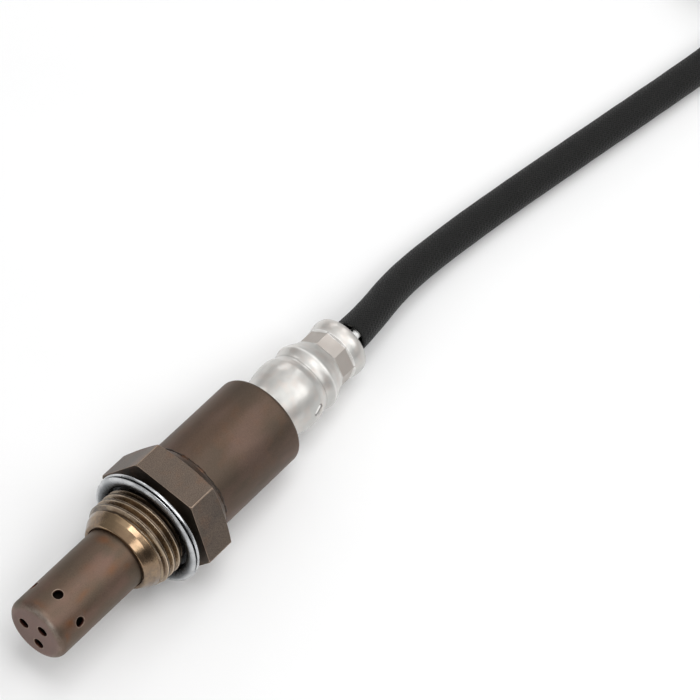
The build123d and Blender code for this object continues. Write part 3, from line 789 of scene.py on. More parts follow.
def ripple(points: np.ndarray, scale: float, amount: float) -> np.ndarray:
    """Finds soft noise at points.

    Args:
        points: places in metres.
        scale: how many blots there are to a millimetre.
        amount: the largest value, up or down.

    Returns:
        A number for each point.
    """
    values = [noise.noise(Vector(p)) for p in points.reshape(-1, 3) / MM * scale]
    return np.array(values).reshape(points.shape[:-1]) * amount


def lathe(station: Sequence[float], radius: Sequence[float], turn: np.ndarray) -> np.ndarray:
    """Points of an outline, in rows, turned about the sensor's axis."""
    return AXIS.points(np.asarray(station)[:, None], np.asarray(radius)[:, None], turn)


# ---------------------------------------------------------------- mesh tools
@dataclass
class Piece:
    """A mesh that is being put together from arrays."""

    name: str
    corners: list[np.ndarray] = field(default_factory=list)
    faces: list[tuple[int, ...]] = field(default_factory=list)
    marks: list[dict[str, np.ndarray]] = field(default_factory=list)

    def add(self, points: np.ndarray, marks: Mapping[str, np.ndarray] | None = None) -> int:
        """Adds loose points.

        Args:
            points: places in metres, in an array of any shape.
            marks: numbers for the points, which fit that shape.

        Returns:
            The number of the first point.
        """
        first, shape = sum(map(len, self.corners)), points.shape[:-1]
        self.corners.append(points.reshape(-1, 3))
        self.marks.append(
            {key: np.broadcast_to(v, shape).reshape(-1) for key, v in (marks or {}).items()}
        )
        return first

    def mark_values(self, key: str) -> np.ndarray:
        """One mark's number at every point, 0 where a sheet has none."""
        zeros = (np.zeros(len(points)) for points in self.corners)
        return np.concatenate([marks.get(key, zero) for marks, zero in zip(self.marks, zeros)])

    def grid(
        self,
        points: np.ndarray,
        closed: bool = True,
        marks: Mapping[str, np.ndarray] | None = None,
        skip: Collection[int] = (),
    ) -> np.ndarray:
        """Adds a sheet of quads.

        Args:
            points: rows x columns x 3, in metres.
            closed: whether the last column joins the first.
            marks: numbers for its points, rows x columns.
            skip: columns without quads.

        Returns:
            The points' numbers, rows x columns.
        """
        rows, columns = points.shape[:2]
        index = np.arange(rows * columns).reshape(rows, columns) + self.add(points, marks)
        after = np.roll(index, -1, axis=1)
        quads = np.stack((index[:-1], after[:-1], after[1:], index[1:]), axis=-1)
        kept = [k for k in range(columns if closed else columns - 1) if k not in skip]
        self.faces.extend(map(tuple, quads[:, kept].reshape(-1, 4).tolist()))
        return index

    def cap(self, ring: Sequence[int], flip: bool = False) -> None:
        """Closes a ring of points with one flat face."""
        order = tuple(int(i) for i in ring)
        self.faces.append(order[::-1] if flip else order)

    def finish(
        self,
        finish: Finish,
        *nodes: str,
        slot: str = "",
        sharp: float = 32.0,
        merge: float = 1e-7,
        after: Callable[[bmesh.types.BMesh], None] | None = None,
    ) -> bpy.types.Object:
        """Makes the object, dresses it and ties it to the frame.

        Args:
            finish: what it is made of.
            nodes: CAD nodes that it stands for.
            slot: the record's material slot, where the finish's name isn't its.
            sharp: degrees between faces from which an edge is not smoothed.
            merge: metres within which points are joined.
            after: a last change to the mesh.

        Returns:
            The object.
        """
        mesh = bpy.data.meshes.new(self.name)
        mesh.from_pydata(np.concatenate(self.corners).tolist(), [], self.faces)
        for key in sorted({key for marks in self.marks for key in marks}):
            layer = mesh.attributes.new(key, "FLOAT", "POINT")
            layer.data.foreach_set("value", self.mark_values(key).astype(np.float32))
        work = bmesh.new()
        work.from_mesh(mesh)
        bmesh.ops.remove_doubles(work, verts=work.verts, dist=merge)
        bmesh.ops.dissolve_degenerate(work, edges=work.edges, dist=merge)
        if after:
            after(work)
        bmesh.ops.recalc_face_normals(work, faces=work.faces)
        smooth_by_angle(work, sharp)
        work.to_mesh(mesh)
        work.free()
        mesh.materials.append(finish.material())
        made = add_object(self.name, mesh)
        settle(made, slot or finish.value.name, *nodes)
        return made


def add_object(name: str, data: bpy.types.ID) -> bpy.types.Object:
    """Puts a new object into the scene.

    Args:
        name: its name.
        data: its mesh, light or camera.

    Returns:
        The object.
    """
    made = bpy.data.objects.new(name, data)
    bpy.context.scene.collection.objects.link(made)
    return made


def smooth_by_angle(work: bmesh.types.BMesh, degrees: float) -> None:
    """Smooths a mesh but for its sharp edges.

    Args:
        work: the mesh.
        degrees: the angle from which an edge is sharp.
    """
    limit = math.radians(degrees)
    for face in work.faces:
        face.smooth = True
    for edge in work.edges:
        edge.smooth = len(edge.link_faces) != 2 or edge.calc_face_angle(0.0) < limit


def read_all(items: bpy.types.bpy_prop_collection, key: str, kind: type) -> np.ndarray:
    """Reads one property of every item of a collection.

    Args:
        items: the collection.
        key: the property's name.
        kind: the numbers' type.

    Returns:
        The numbers.
    """
    values = np.zeros(len(items), kind)
    items.foreach_get(key, values)
    return values


def settle(made: bpy.types.Object, slot: str, *nodes: str) -> None:
    """Ties a piece to the frame and reports it.

    Args:
        made: the piece.
        slot: the record's material slot.
        nodes: CAD nodes that it stands for.
    """
    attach(made, ROOT)
    if nodes:
        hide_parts(*nodes)
    faces, held = len(made.data.polygons), ", ".join(nodes) or "none"
    log.info("%s: %d faces, slot %s, stands for %s", made.name, faces, slot, held)


def round_edges(
    made: bpy.types.Object, width: float, degrees: float, segments: int = 2, material: int = -1
) -> None:
    """Rounds the sharp edges of a piece.

    Args:
        made: the piece.
        width: mm of the rounding.
        degrees: angle from which an edge is rounded.
        segments: steps of the rounding.
        material: number of the material of the rounded strip, or -1 for its neighbours'.
    """
    bevel = made.modifiers.new("rounded_edges", "BEVEL")
    bevel.width = width * MM
    bevel.segments = segments
    bevel.limit_method = "ANGLE"
    bevel.angle_limit = math.radians(degrees)
    bevel.material = material
    bevel.miter_outer = "MITER_ARC"
    normals = made.modifiers.new("even_normals", "WEIGHTED_NORMAL")
    normals.keep_sharp = True


# ---------------------------------------------------------------- protection tube
@dataclass
class ProtectionTube:
    """Closed outer tube over the sensing tip, with punched side and end holes."""

    front: float = -32.05
    rear: float = -9.0
    radius: float = 6.17
    wall: float = 0.5
    edge: float = 1.5
    side_holes: int = 6
    side_hole_d: float = 1.8
    side_hole_at: float = 5.45
    side_hole_turn: float = 3.0
    end_holes: int = 3
    end_hole_d: float = 2.0
    end_hole_circle_r: float = 2.57
    end_hole_turn: float = 87.0
    columns: int = 144
    block: int = 10  # rows and columns of the wall's grid that a side hole takes
    wall_rows: tuple[int, int] = (12, 60)  # ahead of the side holes and behind them
    ring_steps: int = 40
    lip: float = 0.16  # rounding of a punched edge
    lip_steps: int = 4
    support: float = 0.14  # flat ring next to a rounding
    edge_steps: tuple[int, int] = (12, 8)  # outside and inside
    # painted highlight along the rounded front edge: the turn it is centred on, and its width in
    # degrees
    highlight_turn: float = -12.0
    highlight_width: float = 34.0
    streak: tuple[float, float] = (0.5, 0.16)  # the painted highlight's middle and width, as shares of the edge
    halo: tuple[float, float, float] = (0.62, 0.3, 0.2)  # a fainter painted highlight round it: the same, and its strength
    end_shade: tuple[float, float] = (0.25, 0.05)  # behind the front, none and full
    hole_rings: tuple[float, ...] = (0.0, 0.35, 0.65, 0.9)  # from the square to the circle
    rust: tuple[tuple[float, ...], ...] = (  # station, turn, length, width, strength
        (-15.2, -28.0, 2.4, 7.0, 0.7), (-12.7, 18.0, 1.0, 20.0, 0.7),
        (-30.6, -62.0, 1.0, 8.0, 0.9), (-28.4, -45.0, 1.2, 8.0, 0.8),
        (-23.6, -26.0, 1.6, 5.0, 0.6), (-19.5, 4.0, 1.5, 8.0, 0.3),
        (-13.4, -40.0, 0.9, 6.0, 0.6), (-30.4, 14.0, 0.8, 14.0, 0.4),
        (-25.4, -48.0, 1.2, 5.0, 0.5),
    )

    def build(self) -> None:
        """Builds the tube as one mesh."""
        piece = Piece("protection_tube")
        turn = turns(self.columns, math.radians(self.side_hole_turn))
        self._wall(piece, turn)
        self._nose(piece, turn)
        piece.finish(Finish.SHIELD, "outer_shield", sharp=50.0, merge=2e-6)

    def _wall(self, piece: Piece, turn: np.ndarray) -> None:
        """Adds the straight wall, outside and inside, and the holes in it.

        Args:
            piece: what it goes into.
            turn: the columns of its grid.
        """
        half = self.block * math.tau / self.columns * self.radius / 2
        hole_at = self.front + self.side_hole_at
        spans = (
            np.linspace(self.front + self.edge, hole_at - half, self.wall_rows[0]),
            np.linspace(hole_at - half, hole_at + half, self.block + 1),
            np.linspace(hole_at + half, self.rear, self.wall_rows[1]),
        )
        holes = range(self.side_holes)
        starts = [k * self.columns // self.side_holes - self.block // 2 for k in holes]
        open_columns = {(s + j) % self.columns for s in starts for j in range(self.block)}
        for radius in (self.radius, self.radius - self.wall):
            for span, skip in zip(spans, ((), open_columns, ())):
                marks = {"rust": self._rust(span[:, None], turn)}
                piece.grid(AXIS.points(span[:, None], radius, turn), marks=marks, skip=skip)
        for k in holes:
            middle = math.radians(self.side_hole_turn + 360 / self.side_holes * k)
            self._side_hole(piece, middle, hole_at, half)
        piece.grid(lathe((self.rear,) * 2, (self.radius, self.radius - self.wall), turn))

    def _rust(self, station: np.ndarray, turn: np.ndarray) -> np.ndarray:
        """Finds how rusty the wall is.

        Args:
            station: mm along the axis, as a column.
            turn: radians, as a row.

        Returns:
            Shares from 0 to 1, rows x columns.
        """
        total = np.zeros(np.broadcast_shapes(station.shape, turn.shape))
        for at, middle, length, width, strength in self.rust:
            total += strength * hump(station, at, length) * hump(aside(turn, middle), 0.0, width)
        return np.clip(total, 0.0, 1.0)

    def _rounding(self) -> list[tuple[float, float]]:
        """How far a punched edge stands in from its rim and down from its face, step by step."""
        turn = np.linspace(0.0, math.pi / 2, self.lip_steps + 1)
        return [(self.lip * (1 - math.sin(a)), self.lip * (1 - math.cos(a))) for a in turn]

    def _side_hole(self, piece: Piece, middle: float, at: float, side: float) -> None:
        """Adds the rings between a square block of the wall and its round hole, and the edge.

        Args:
            piece: what they go into.
            middle: the hole's turn, in radians.
            at: the hole's station.
            side: mm from the block's middle to its sides.
        """
        edge = np.arange(self.block) / self.block * 2 - 1
        low, high = np.full(self.block, -1.0), np.full(self.block, 1.0)
        sides = ((low, edge), (edge, high), (high, -edge), (-edge, low))
        square = np.concatenate([np.stack(s, axis=1) for s in sides])
        angle = np.arctan2(square[:, 1], square[:, 0])
        circle = np.stack((np.cos(angle), np.sin(angle)), axis=1)
        outer, inner = self.radius, self.radius - self.wall
        steps = [(share, outer, self.lip) for share in self.hole_rings]
        steps += [(1.0, outer - drop, inset) for inset, drop in self._rounding()]
        steps += [(share, inner, 0.0) for share in (1.0, 0.7, 0.35, 0.0)]
        rows = []
        for share, radius, inset in steps:
            round_part = circle * (self.side_hole_d / 2 + inset) * share
            flat = square * side * (1 - share) + round_part
            rows.append(AXIS.points(at + flat[:, 0], radius, middle + flat[:, 1] / self.radius))
        # painted highlight on the hole's rounded rim, then the hole's own darker wall
        rim = np.array((0, 0, 0, 0.3, 1, 1, 0.8, 0.2, 0, 0, 0, 0, 0))
        bore = np.array((0, 0, 0, 0, 0, 0, 0, 0.6, 1, 1, 1, 1, 1))
        piece.grid(np.stack(rows), marks={"rim": rim[:, None], "bore": bore[:, None]})

    def _nose(self, piece: Piece, turn: np.ndarray) -> None:
        """Adds the rounded edge and the flat end with its holes, outside and inside.

        Args:
            piece: what they go into.
            turn: the columns of the wall's grid.
        """
        centre = (self.front + self.edge, self.radius - self.edge)
        outer = arc(centre, self.edge, 90, 180, self.edge_steps[0])
        inner = arc(centre, self.edge - self.wall, 90, 180, self.edge_steps[1])
        flat_r = self.radius - self.edge - self.support
        # painted highlight along the outer rounded edge, strongest round one turn, with a fainter
        # halo
        across = hump(aside(turn, self.highlight_turn), 0.0, self.highlight_width)
        for outline, share in ((outer, 1.0), (inner, 0.0)):
            station, radius = np.array([*outline, (outline[-1][0], flat_r)]).T
            place = np.append(np.linspace(0.0, 1.0, len(outline)), 1.1)[:, None]
            worn = hump(place, *self.streak) * across + hump(place, *self.halo[:2]) * self.halo[2]
            end = fade(station - self.front, *self.end_shade)[:, None]
            marks = {"worn": np.clip(worn, 0.0, 1.0) * share, "end": end}
            piece.grid(lathe(station, radius, turn), marks=marks)
        middles = np.radians(self.end_hole_turn + 360 / self.end_holes * np.arange(self.end_holes))
        face = AXIS.points(self.front, flat_r, turn[0])
        self._end_face(piece, face, self.front, self.lip + self.support, middles)
        face = AXIS.points(self.front + self.wall, flat_r, turn[0])
        self._end_face(piece, face, self.front + self.wall, self.support, middles)
        for middle in middles:
            self._end_hole(piece, middle)

    def _hole_ring(self, station: float, radius: float, middle: float) -> np.ndarray:
        """Finds a ring of points round an end hole.

        Args:
            station: mm along the axis.
            radius: mm from the hole's middle.
            middle: the hole's turn, in radians.

        Returns:
            The points, in metres.
        """
        around = turns(self.ring_steps)[0][:, None]
        out = AXIS.out(np.array(middle))
        heart = AXIS.along * (station + AXIS.seat_station) + out * self.end_hole_circle_r
        spread = np.cos(around) * out + np.sin(around) * np.cross(AXIS.along, out)
        return (heart + radius * spread) * MM

    def _end_face(
        self,
        piece: Piece,
        ring: np.ndarray,
        station: float,
        inset: float,
        middles: Sequence[float],
    ) -> None:
        """Fills the flat end between its outer ring and the holes.

        Args:
            piece: what it goes into.
            ring: the outer ring's points.
            station: mm along the axis.
            inset: mm that it keeps off a hole's rim.
            middles: the holes' turns, in radians.
        """
        work = bmesh.new()
        hole_r = self.end_hole_d / 2 + inset
        edges = []
        for loop in (ring, *(self._hole_ring(station, hole_r, middle) for middle in middles)):
            verts = [work.verts.new(p) for p in loop]
            edges += [work.edges.new(pair) for pair in zip(verts, verts[1:] + verts[:1])]
        bmesh.ops.triangle_fill(work, use_beauty=True, use_dissolve=False, edges=edges)
        work.verts.index_update()
        base = piece.add(np.array([v.co for v in work.verts]), {"end": np.array(1.0)})
        piece.faces.extend(tuple(v.index + base for v in f.verts) for f in work.faces)
        work.free()

    def _end_hole(self, piece: Piece, middle: float) -> None:
        """Adds the rounded edge and the wall of an end hole.

        Args:
            piece: what they go into.
            middle: the hole's turn, in radians.
        """
        hole_r, inner = self.end_hole_d / 2, self.front + self.wall
        steps = [(self.front, hole_r + self.lip + self.support)]
        steps += [(self.front + drop, hole_r + inset) for inset, drop in self._rounding()]
        steps += [(inner, hole_r), (inner, hole_r + self.support)]
        rows = [self._hole_ring(station, radius, middle) for station, radius in steps]
        # painted highlight on the rounded rim, the hole's darker wall, and the end face's tone
        marks = {
            "rim": (0.0, 0.5, 1.0, 0.8, 0.2, 0.0, 0.0, 0.0),
            "bore": (0.0, 0.0, 0.0, 0.0, 0.7, 1.0, 1.0, 1.0),
            "end": (1.0, 1.0, 0.6, 0.0, 0.0, 0.0, 0.0, 0.0),
        }
        piece.grid(np.stack(rows), marks={key: np.array(v)[:, None] for key, v in marks.items()})


# ---------------------------------------------------------------- housing
@dataclass
class Housing:
    """Turned nose, thread and hexagon of the body that screws into the exhaust."""

    pitch: float = 1.5
    laps: int = 6
    crest_r: float = 8.95
    crest_half: float = 0.22
    crest_ease: float = 0.05
    root_half: float = 0.08
    land_steps: tuple[float, ...] = (0.0, 0.08)
    corner_steps: tuple[float, ...] = (-1.0, -0.6, -0.2, 0.2, 0.6, 1.0)  # in eases off a corner
    flank_steps: tuple[float, ...] = (0.31, 0.38, 0.45, 0.52, 0.59, 0.65, 0.69, 0.75)
    thread_phase: float = -8.65
    thread_depth: float = 0.9
    thread_front: float = -8.2
    thread_rear: float = -2.45
    lead_in_r: float = 8.25
    lead_in_slope: float = 1.1
    spare: float = 0.05  # how far the ribbon is kept past the thread's ends
    rim_width: float = 0.08  # painted highlight on the edge where the lead-in cuts the first crest
    flank_shade: float = 0.45
    root_shade: float = 0.85
    relief_shade: tuple[float, float] = (0.15, 0.9)
    relief_fade: tuple[float, float] = (-2.8, 1.2)  # where it starts, and its length
    rear_fade: tuple[float, float] = (-4.2, -2.6)
    rear_shade: float = 0.35
    run_in: tuple[float, float] = (1.3, 0.8)  # painted shade near the thread's front: behind that front, none and full
    shade_turn: float = 75.0
    shade_facing: tuple[float, float] = (0.72, 0.92)  # cosine off that turn, none and full
    side_shade_right: tuple[float, float] = (-48.0, -73.0)  # painted shade low on the -Y side: turns, none and full
    side_shade_left: tuple[float, float] = (28.0, 46.0)
    side_shade_share: float = 0.6
    tool_waves: tuple[tuple[float, float, float], ...] = (  # to a turn, to a mm, height
        (7, 1.0, 0.006), (17, 2.1, 0.004),
    )
    core: tuple[float, float] = (-8.05, -2.6)  # its two ends
    core_r: float = 7.95
    dark: tuple[float, float] = (-8.12, -2.3)  # what lies in the thread's shade
    relief: tuple[float, float] = (-2.5, 0.5)
    relief_r: float = 8.1
    bore_r: float = 6.25
    nose_front: float = -10.8
    nose_rear_r: float = 8.22
    nose_arcs: tuple[tuple[float, ...], ...] = (  # station, radius, size, two angles, steps
        (-10.86, 6.45, 0.2, 270, 180, 4), (-10.62, 6.72, 0.44, 180, 123, 8),
        (-9.33, 7.82, 0.2, 123, 107, 3), (-8.42, 8.1, 0.2, 107, 60, 4),
    )
    flat_r: float = 11.0
    corner_r: float = 12.65
    front_cap_r: float = 12.45
    face_r: float = 9.5
    front_ball: tuple[float, float] = (12.65, 315.02)  # middle's station, square of its radius
    rear_ball: tuple[float, float] = (-37.1825, 2020.44)
    hex_rear: float = 6.45
    rear_cap_r: float = 10.8
    shoulder_rear: float = 8.2
    shoulder_r: float = 9.45
    shoulder_inner_r: float = 8.9
    shoulder_bulge: float = 0.12
    hex_edge: float = 0.08
    hex_face_steps: int = 21
    bead_at: tuple[float, float] = (0.02, -0.28)  # off the shoulder's station and radius
    bead: tuple[float, float] = (0.4, 0.8)  # its half width, and how high it is for that
    bead_waves: tuple[tuple[float, float], ...] = ((0.55, 0.2), (1.7, 0.12))
    step: float = 0.3
    columns: int = 180
    bead_columns: int = 220

    def build(self) -> None:
        """Builds the core, the thread, the hexagon and the weld behind it."""
        self._core()
        self._thread()
        self._hexagon()
        self._weld()

    def _core(self) -> None:
        """Builds the turned nose and the plain cylinder under the thread."""
        outline = [(self.nose_front, self.bore_r)]
        for at, radius, size, first, last, steps in self.nose_arcs:
            outline += arc((at, radius), size, first, last, int(steps))
        outline.append((self.thread_front, self.nose_rear_r))
        outline += [(end, self.core_r) for end in self.core]
        outline += [(end, self.relief_r) for end in self.relief]
        station, radius = refine(outline, self.step)
        turn = turns(self.columns)
        # depth: painted shade under the thread, and lighter painted shade behind it next to the
        # gasket
        start, length = self.relief_fade
        relief = np.clip((station - start) / length, *self.relief_shade)
        depth = np.where(station < self.dark[1], self.root_shade, relief)
        depth = np.where(station < self.dark[0], 0.0, depth)
        # painted shade, a dull grey, low on both sides
        side_shade = sum(self._sides(turn)) * self.side_shade_share
        piece = Piece("housing_nose")
        marks = {"depth": depth[:, None], "run_in": side_shade}
        piece.grid(lathe(station, radius, turn), marks=marks)
        piece.finish(Finish.NOSE, "housing", sharp=24.0)

    def _sides(self, turn: np.ndarray) -> tuple[np.ndarray, np.ndarray]:
        """Shares of the painted shade, a dull grey, low down on the two sides, -Y and +Y."""
        degrees = aside(turn, 0.0)
        return fade(degrees, *self.side_shade_right), fade(degrees, *self.side_shade_left)

    def _profile(self, place: np.ndarray) -> np.ndarray:
        """Finds the thread's radius, with its corners eased.

        Args:
            place: mm from a crest's middle, along the pitch.

        Returns:
            The radius at each place, in mm.
        """
        off, half, ease = nearest(place, self.pitch), self.crest_half, self.crest_ease
        run = self.pitch / 2 - self.root_half - half
        slope = self.thread_depth / run
        bend = np.clip(off - half + ease, 0.0, 2 * ease) ** 2 / (4 * ease)
        down = slope * (bend + np.clip(off - half - ease, 0.0, None))
        return self.crest_r - np.minimum(down, self.thread_depth)

    def _places(self) -> np.ndarray:
        """Lays out the rows of the thread's ribbon.

        Returns:
            Their places in mm from the first crest's middle, as a column.
        """
        near = self.crest_half + self.crest_ease * np.array(self.corner_steps)
        unit = np.concatenate((self.land_steps, near, self.flank_steps))
        one = np.concatenate((unit, self.pitch - unit[-2:0:-1]))
        whole = (one + np.arange(self.laps)[:, None] * self.pitch).reshape(-1)
        return np.append(whole, self.laps * self.pitch)[:, None]

    def _thread(self) -> None:
        """Builds the thread's ribbon, cut square at both ends."""
        half, ease = self.crest_half, self.crest_ease
        along = self._places()
        place = self.thread_phase + along
        turn = np.linspace(0.0, math.tau, self.columns + 1)[None, :]
        station = place - self.pitch * turn / math.tau
        whole = self._profile(along)
        for around, lengthwise, height in self.tool_waves:
            whole = whole + np.sin(turn * around + lengthwise * place) * height
        lead_in = self.lead_in_r + (station - self.thread_front) * self.lead_in_slope
        run_out = self.relief_r + (self.thread_rear - station)
        radius = np.minimum(np.minimum(whole, lead_in), run_out)
        down = (self.crest_r - radius) / self.thread_depth
        off = nearest(along, self.pitch)
        full = down < 0.2
        # painted highlights: along the crest's two edges, and where the lead-in cuts a crest
        edge = fade(np.abs(off - half), 1.98 * ease, 0.18 * ease) * full
        rim = fade(np.abs(lead_in - whole), self.rim_width, 0.0) * (lead_in < self.crest_r)
        # painted shade near the thread's front on the side facing one turn, and low on the +Y side
        facing = np.cos(turn - math.radians(self.shade_turn))
        start = fade(station - self.thread_front, *self.run_in) * fade(facing, *self.shade_facing)
        # depth: painted shade on the flanks, deepest at the roots and towards the gasket
        root = (self.root_shade - self.flank_shade) * fade(down, 0.75, 1.0)
        rear = fade(station, *self.rear_fade) * self.rear_shade
        marks = {
            "depth": np.clip(self.flank_shade + root + rear, 0.0, 1.0),
            "crest": np.maximum(edge, rim),
            "land": fade(off, half, half - ease) * full,
            "run_in": np.maximum(start, self._sides(turn)[1] * self.side_shade_share),
        }
        piece = Piece("housing_thread")
        piece.grid(AXIS.points(station, radius, turn), closed=False, marks=marks)
        piece.finish(Finish.NOSE, sharp=30.0, merge=3e-6, after=self._cut_ends)

    def _cut_ends(self, work: bmesh.types.BMesh) -> None:
        """Cuts the thread's ribbon at its two ends.

        Args:
            work: the ribbon's mesh.
        """
        for end, side in ((self.thread_front, -1), (self.thread_rear, 1)):
            bmesh.ops.bisect_plane(
                work,
                geom=[*work.verts, *work.edges, *work.faces],
                plane_co=AXIS.point(end + self.spare * side),
                plane_no=Vector(AXIS.along) * side,
                clear_outer=True,
            )

    def _front(self, radius: np.ndarray) -> np.ndarray:
        """Station of the hexagon's turned front at a radius."""
        middle, square = self.front_ball
        return np.maximum(0.0, middle - np.sqrt(square - radius**2))

    def _rear(self, radius: np.ndarray) -> np.ndarray:
        """Station of the hexagon's turned rear at a radius."""
        middle, square = self.rear_ball
        return middle + np.sqrt(square - radius**2)

    def _hexagon(self) -> None:
        """Builds the hexagon, with its corners turned round at both ends and its edges rounded."""
        corner = math.acos(self.flat_r / self.corner_r)
        face_corner = math.acos(self.flat_r / self.front_cap_r)
        sixth = math.pi / 3
        rise = np.linspace(face_corner, corner, 3)
        middle = np.linspace(-face_corner, face_corner, self.hex_face_steps)[1:-1]
        flat = np.concatenate((-rise[::-1], middle, rise, [sixth / 2]))
        turn = np.concatenate([flat + k * sixth for k in range(6)])
        rim = np.minimum(self.flat_r / np.cos(nearest(turn, sixth)), self.corner_r)
        inner = np.minimum(rim, self.front_cap_r)
        rows = [(0.0, self.relief_r - 0.05), (0.0, self.face_r)]
        for share in (0.0, 0.5, 1.0):
            radius = inner + (rim - inner) * share
            rows.append((self._front(radius), radius))
        for share in (0.25, 0.5, 0.75, 1.0):
            rows.append((self._front(rim) * (1 - share) + self._rear(rim) * share, rim))
        for share in (0.3, 0.65, 1.0):
            radius = rim + (self.rear_cap_r - rim) * share
            rows.append((self._rear(radius), radius))
        for share in np.linspace(0.0, 1.0, 7)[1:]:
            down = share + self.shoulder_bulge * math.sin(math.pi * share)
            station = self.hex_rear + (self.shoulder_rear - self.hex_rear) * share
            rows.append((station, self.rear_cap_r + (self.shoulder_r - self.rear_cap_r) * down))
        rows.append((self.shoulder_rear, self.shoulder_inner_r))
        piece = Piece("housing_hexagon")
        piece.grid(np.stack([AXIS.points(station, radius, turn) for station, radius in rows]))
        made = piece.finish(Finish.HEXAGON, slot="housing_steel", sharp=24.0, merge=2e-6)
        # the rounded edges take the lighter edge steel: worn edges with painted highlight
        made.data.materials.append(Finish.HEX_EDGE.material())
        round_edges(made, self.hex_edge, degrees=24.0, material=1)

    def _weld(self) -> None:
        """Builds the uneven bead that joins the sleeve to the hexagon."""
        turn = turns(self.bead_columns)
        heart_s, heart_r = self.shoulder_rear + self.bead_at[0], self.shoulder_r + self.bead_at[1]
        along, out = np.array(arc((0.0, 0.0), 1.0, 0, 180, 8)).T[..., None]
        around = AXIS.points(heart_s, heart_r, turn)
        half, high = self.bead
        size = half + sum(ripple(around, *wave) for wave in self.bead_waves)
        station, radius = heart_s + along * size, heart_r + out * size * high
        piece = Piece("housing_weld")
        piece.grid(AXIS.points(station, radius, turn))
        piece.finish(Finish.WELD, slot="housing_steel", sharp=60.0)


# ---------------------------------------------------------------- gasket
@dataclass
class CrushGasket:
    """Ring of folded sheet that the hexagon crushes against the exhaust's boss."""

    bore_r: float = 9.15
    outer_r: float = 11.6
    free_r: float = 9.2  # from here out the sheet bulges and sits off centre
    rear: float = -1.85
    off_centre: float = 0.12
    off_turn: float = -110.0
    waves: tuple[tuple[float, float], ...] = ((0.3, 0.05), (1.1, 0.012))
    wave_lean: float = 0.6
    free_fade: tuple[float, float] = (-1.86, -2.16)
    fold: tuple[float, float, float] = (-2.75, -2.445, 11.35)  # its two stations and its radius
    depth_fade: tuple[float, float] = (11.2, 9.3)
    step: float = 0.22
    columns: int = 220

    def build(self) -> None:
        """Builds the ring as one closed section turned round."""
        outline = [
            (-2.1, self.bore_r), (-2.75, 9.32), (-3.0, 9.7), (-3.13, 10.1), (-3.2, 10.45),
            (-3.18, 10.72), (-3.07, 11.05), (-2.95, 11.3), (-2.86, 11.46), (-2.8, 11.48),
            (-2.76, 11.4), (-2.74, 10.6), (-2.6, 10.1), (-2.45, 10.6), (-2.44, 11.4),
            (-2.4, 11.54), (-2.3, self.outer_r), (-2.0, self.outer_r), (-1.9, 11.56),
            (self.rear, 11.45), (self.rear, 9.8), (-1.27, 9.45), (-1.27, 8.2), (-1.53, 8.2),
            (-1.55, self.bore_r), (-2.1, self.bore_r),
        ]
        station, radius = refine(outline, self.step)
        around = turns(self.columns)
        points = lathe(station, radius, around)
        free = fade(station, *self.free_fade) * fade(radius, self.free_r, self.free_r + 1.0)
        inward = np.abs(sum(ripple(points, *wave) for wave in self.waves)) * free[:, None]
        shift = self.off_centre * np.cos(around - math.radians(self.off_turn))
        shift = shift * (radius > self.free_r)[:, None]
        first, last, fold_r = self.fold
        in_fold = (station > first) & (station < last) & (radius < fold_r)
        hidden = in_fold | (station > self.rear + 0.01)
        # depth: painted shade, from the crest in to the bore and in hidden parts
        depth = np.where(hidden, 1.0, fade(radius, *self.depth_fade))
        station, radius = station[:, None] + inward * self.wave_lean, radius[:, None] - inward
        piece = Piece("crush_gasket")
        piece.grid(AXIS.points(station, radius + shift, around), marks={"depth": depth[:, None]})
        piece.finish(Finish.GASKET, "gasket", sharp=40.0)


# ---------------------------------------------------------------- rear parts
@dataclass
class RearSleeve:
    """Plain tube welded to the hexagon, folded in round the crimped tail."""

    front: float = 8.2
    rear: float = 29.7
    radius: float = 9.24
    edge: float = 0.9
    dish: tuple[tuple[float, float], ...] = (  # ahead of the rear, radius
        (0.0, 7.5), (0.12, 7.0), (0.5, 6.55), (0.9, 6.2),
    )
    wave: tuple[float, float] = (0.1, 0.02)
    step: float = 0.8
    columns: int = 160

    def build(self) -> None:
        """Builds the sleeve with its rounded rear edge and the slight dish in its rear face."""
        edge_at = self.rear - self.edge
        outline = [(self.front, self.radius)]
        outline += arc((edge_at, self.radius - self.edge), self.edge, 90, 0, 10)
        outline += [(self.rear - ahead, radius) for ahead, radius in self.dish]
        station, radius = refine(outline, self.step)
        turn = turns(self.columns)
        wave = ripple(lathe(station, radius, turn), *self.wave)
        piece = Piece("rear_sleeve_shell")
        piece.grid(AXIS.points(station[:, None], radius[:, None] - np.abs(wave), turn))
        piece.finish(Finish.SLEEVE, "rear_sleeve", sharp=50.0)


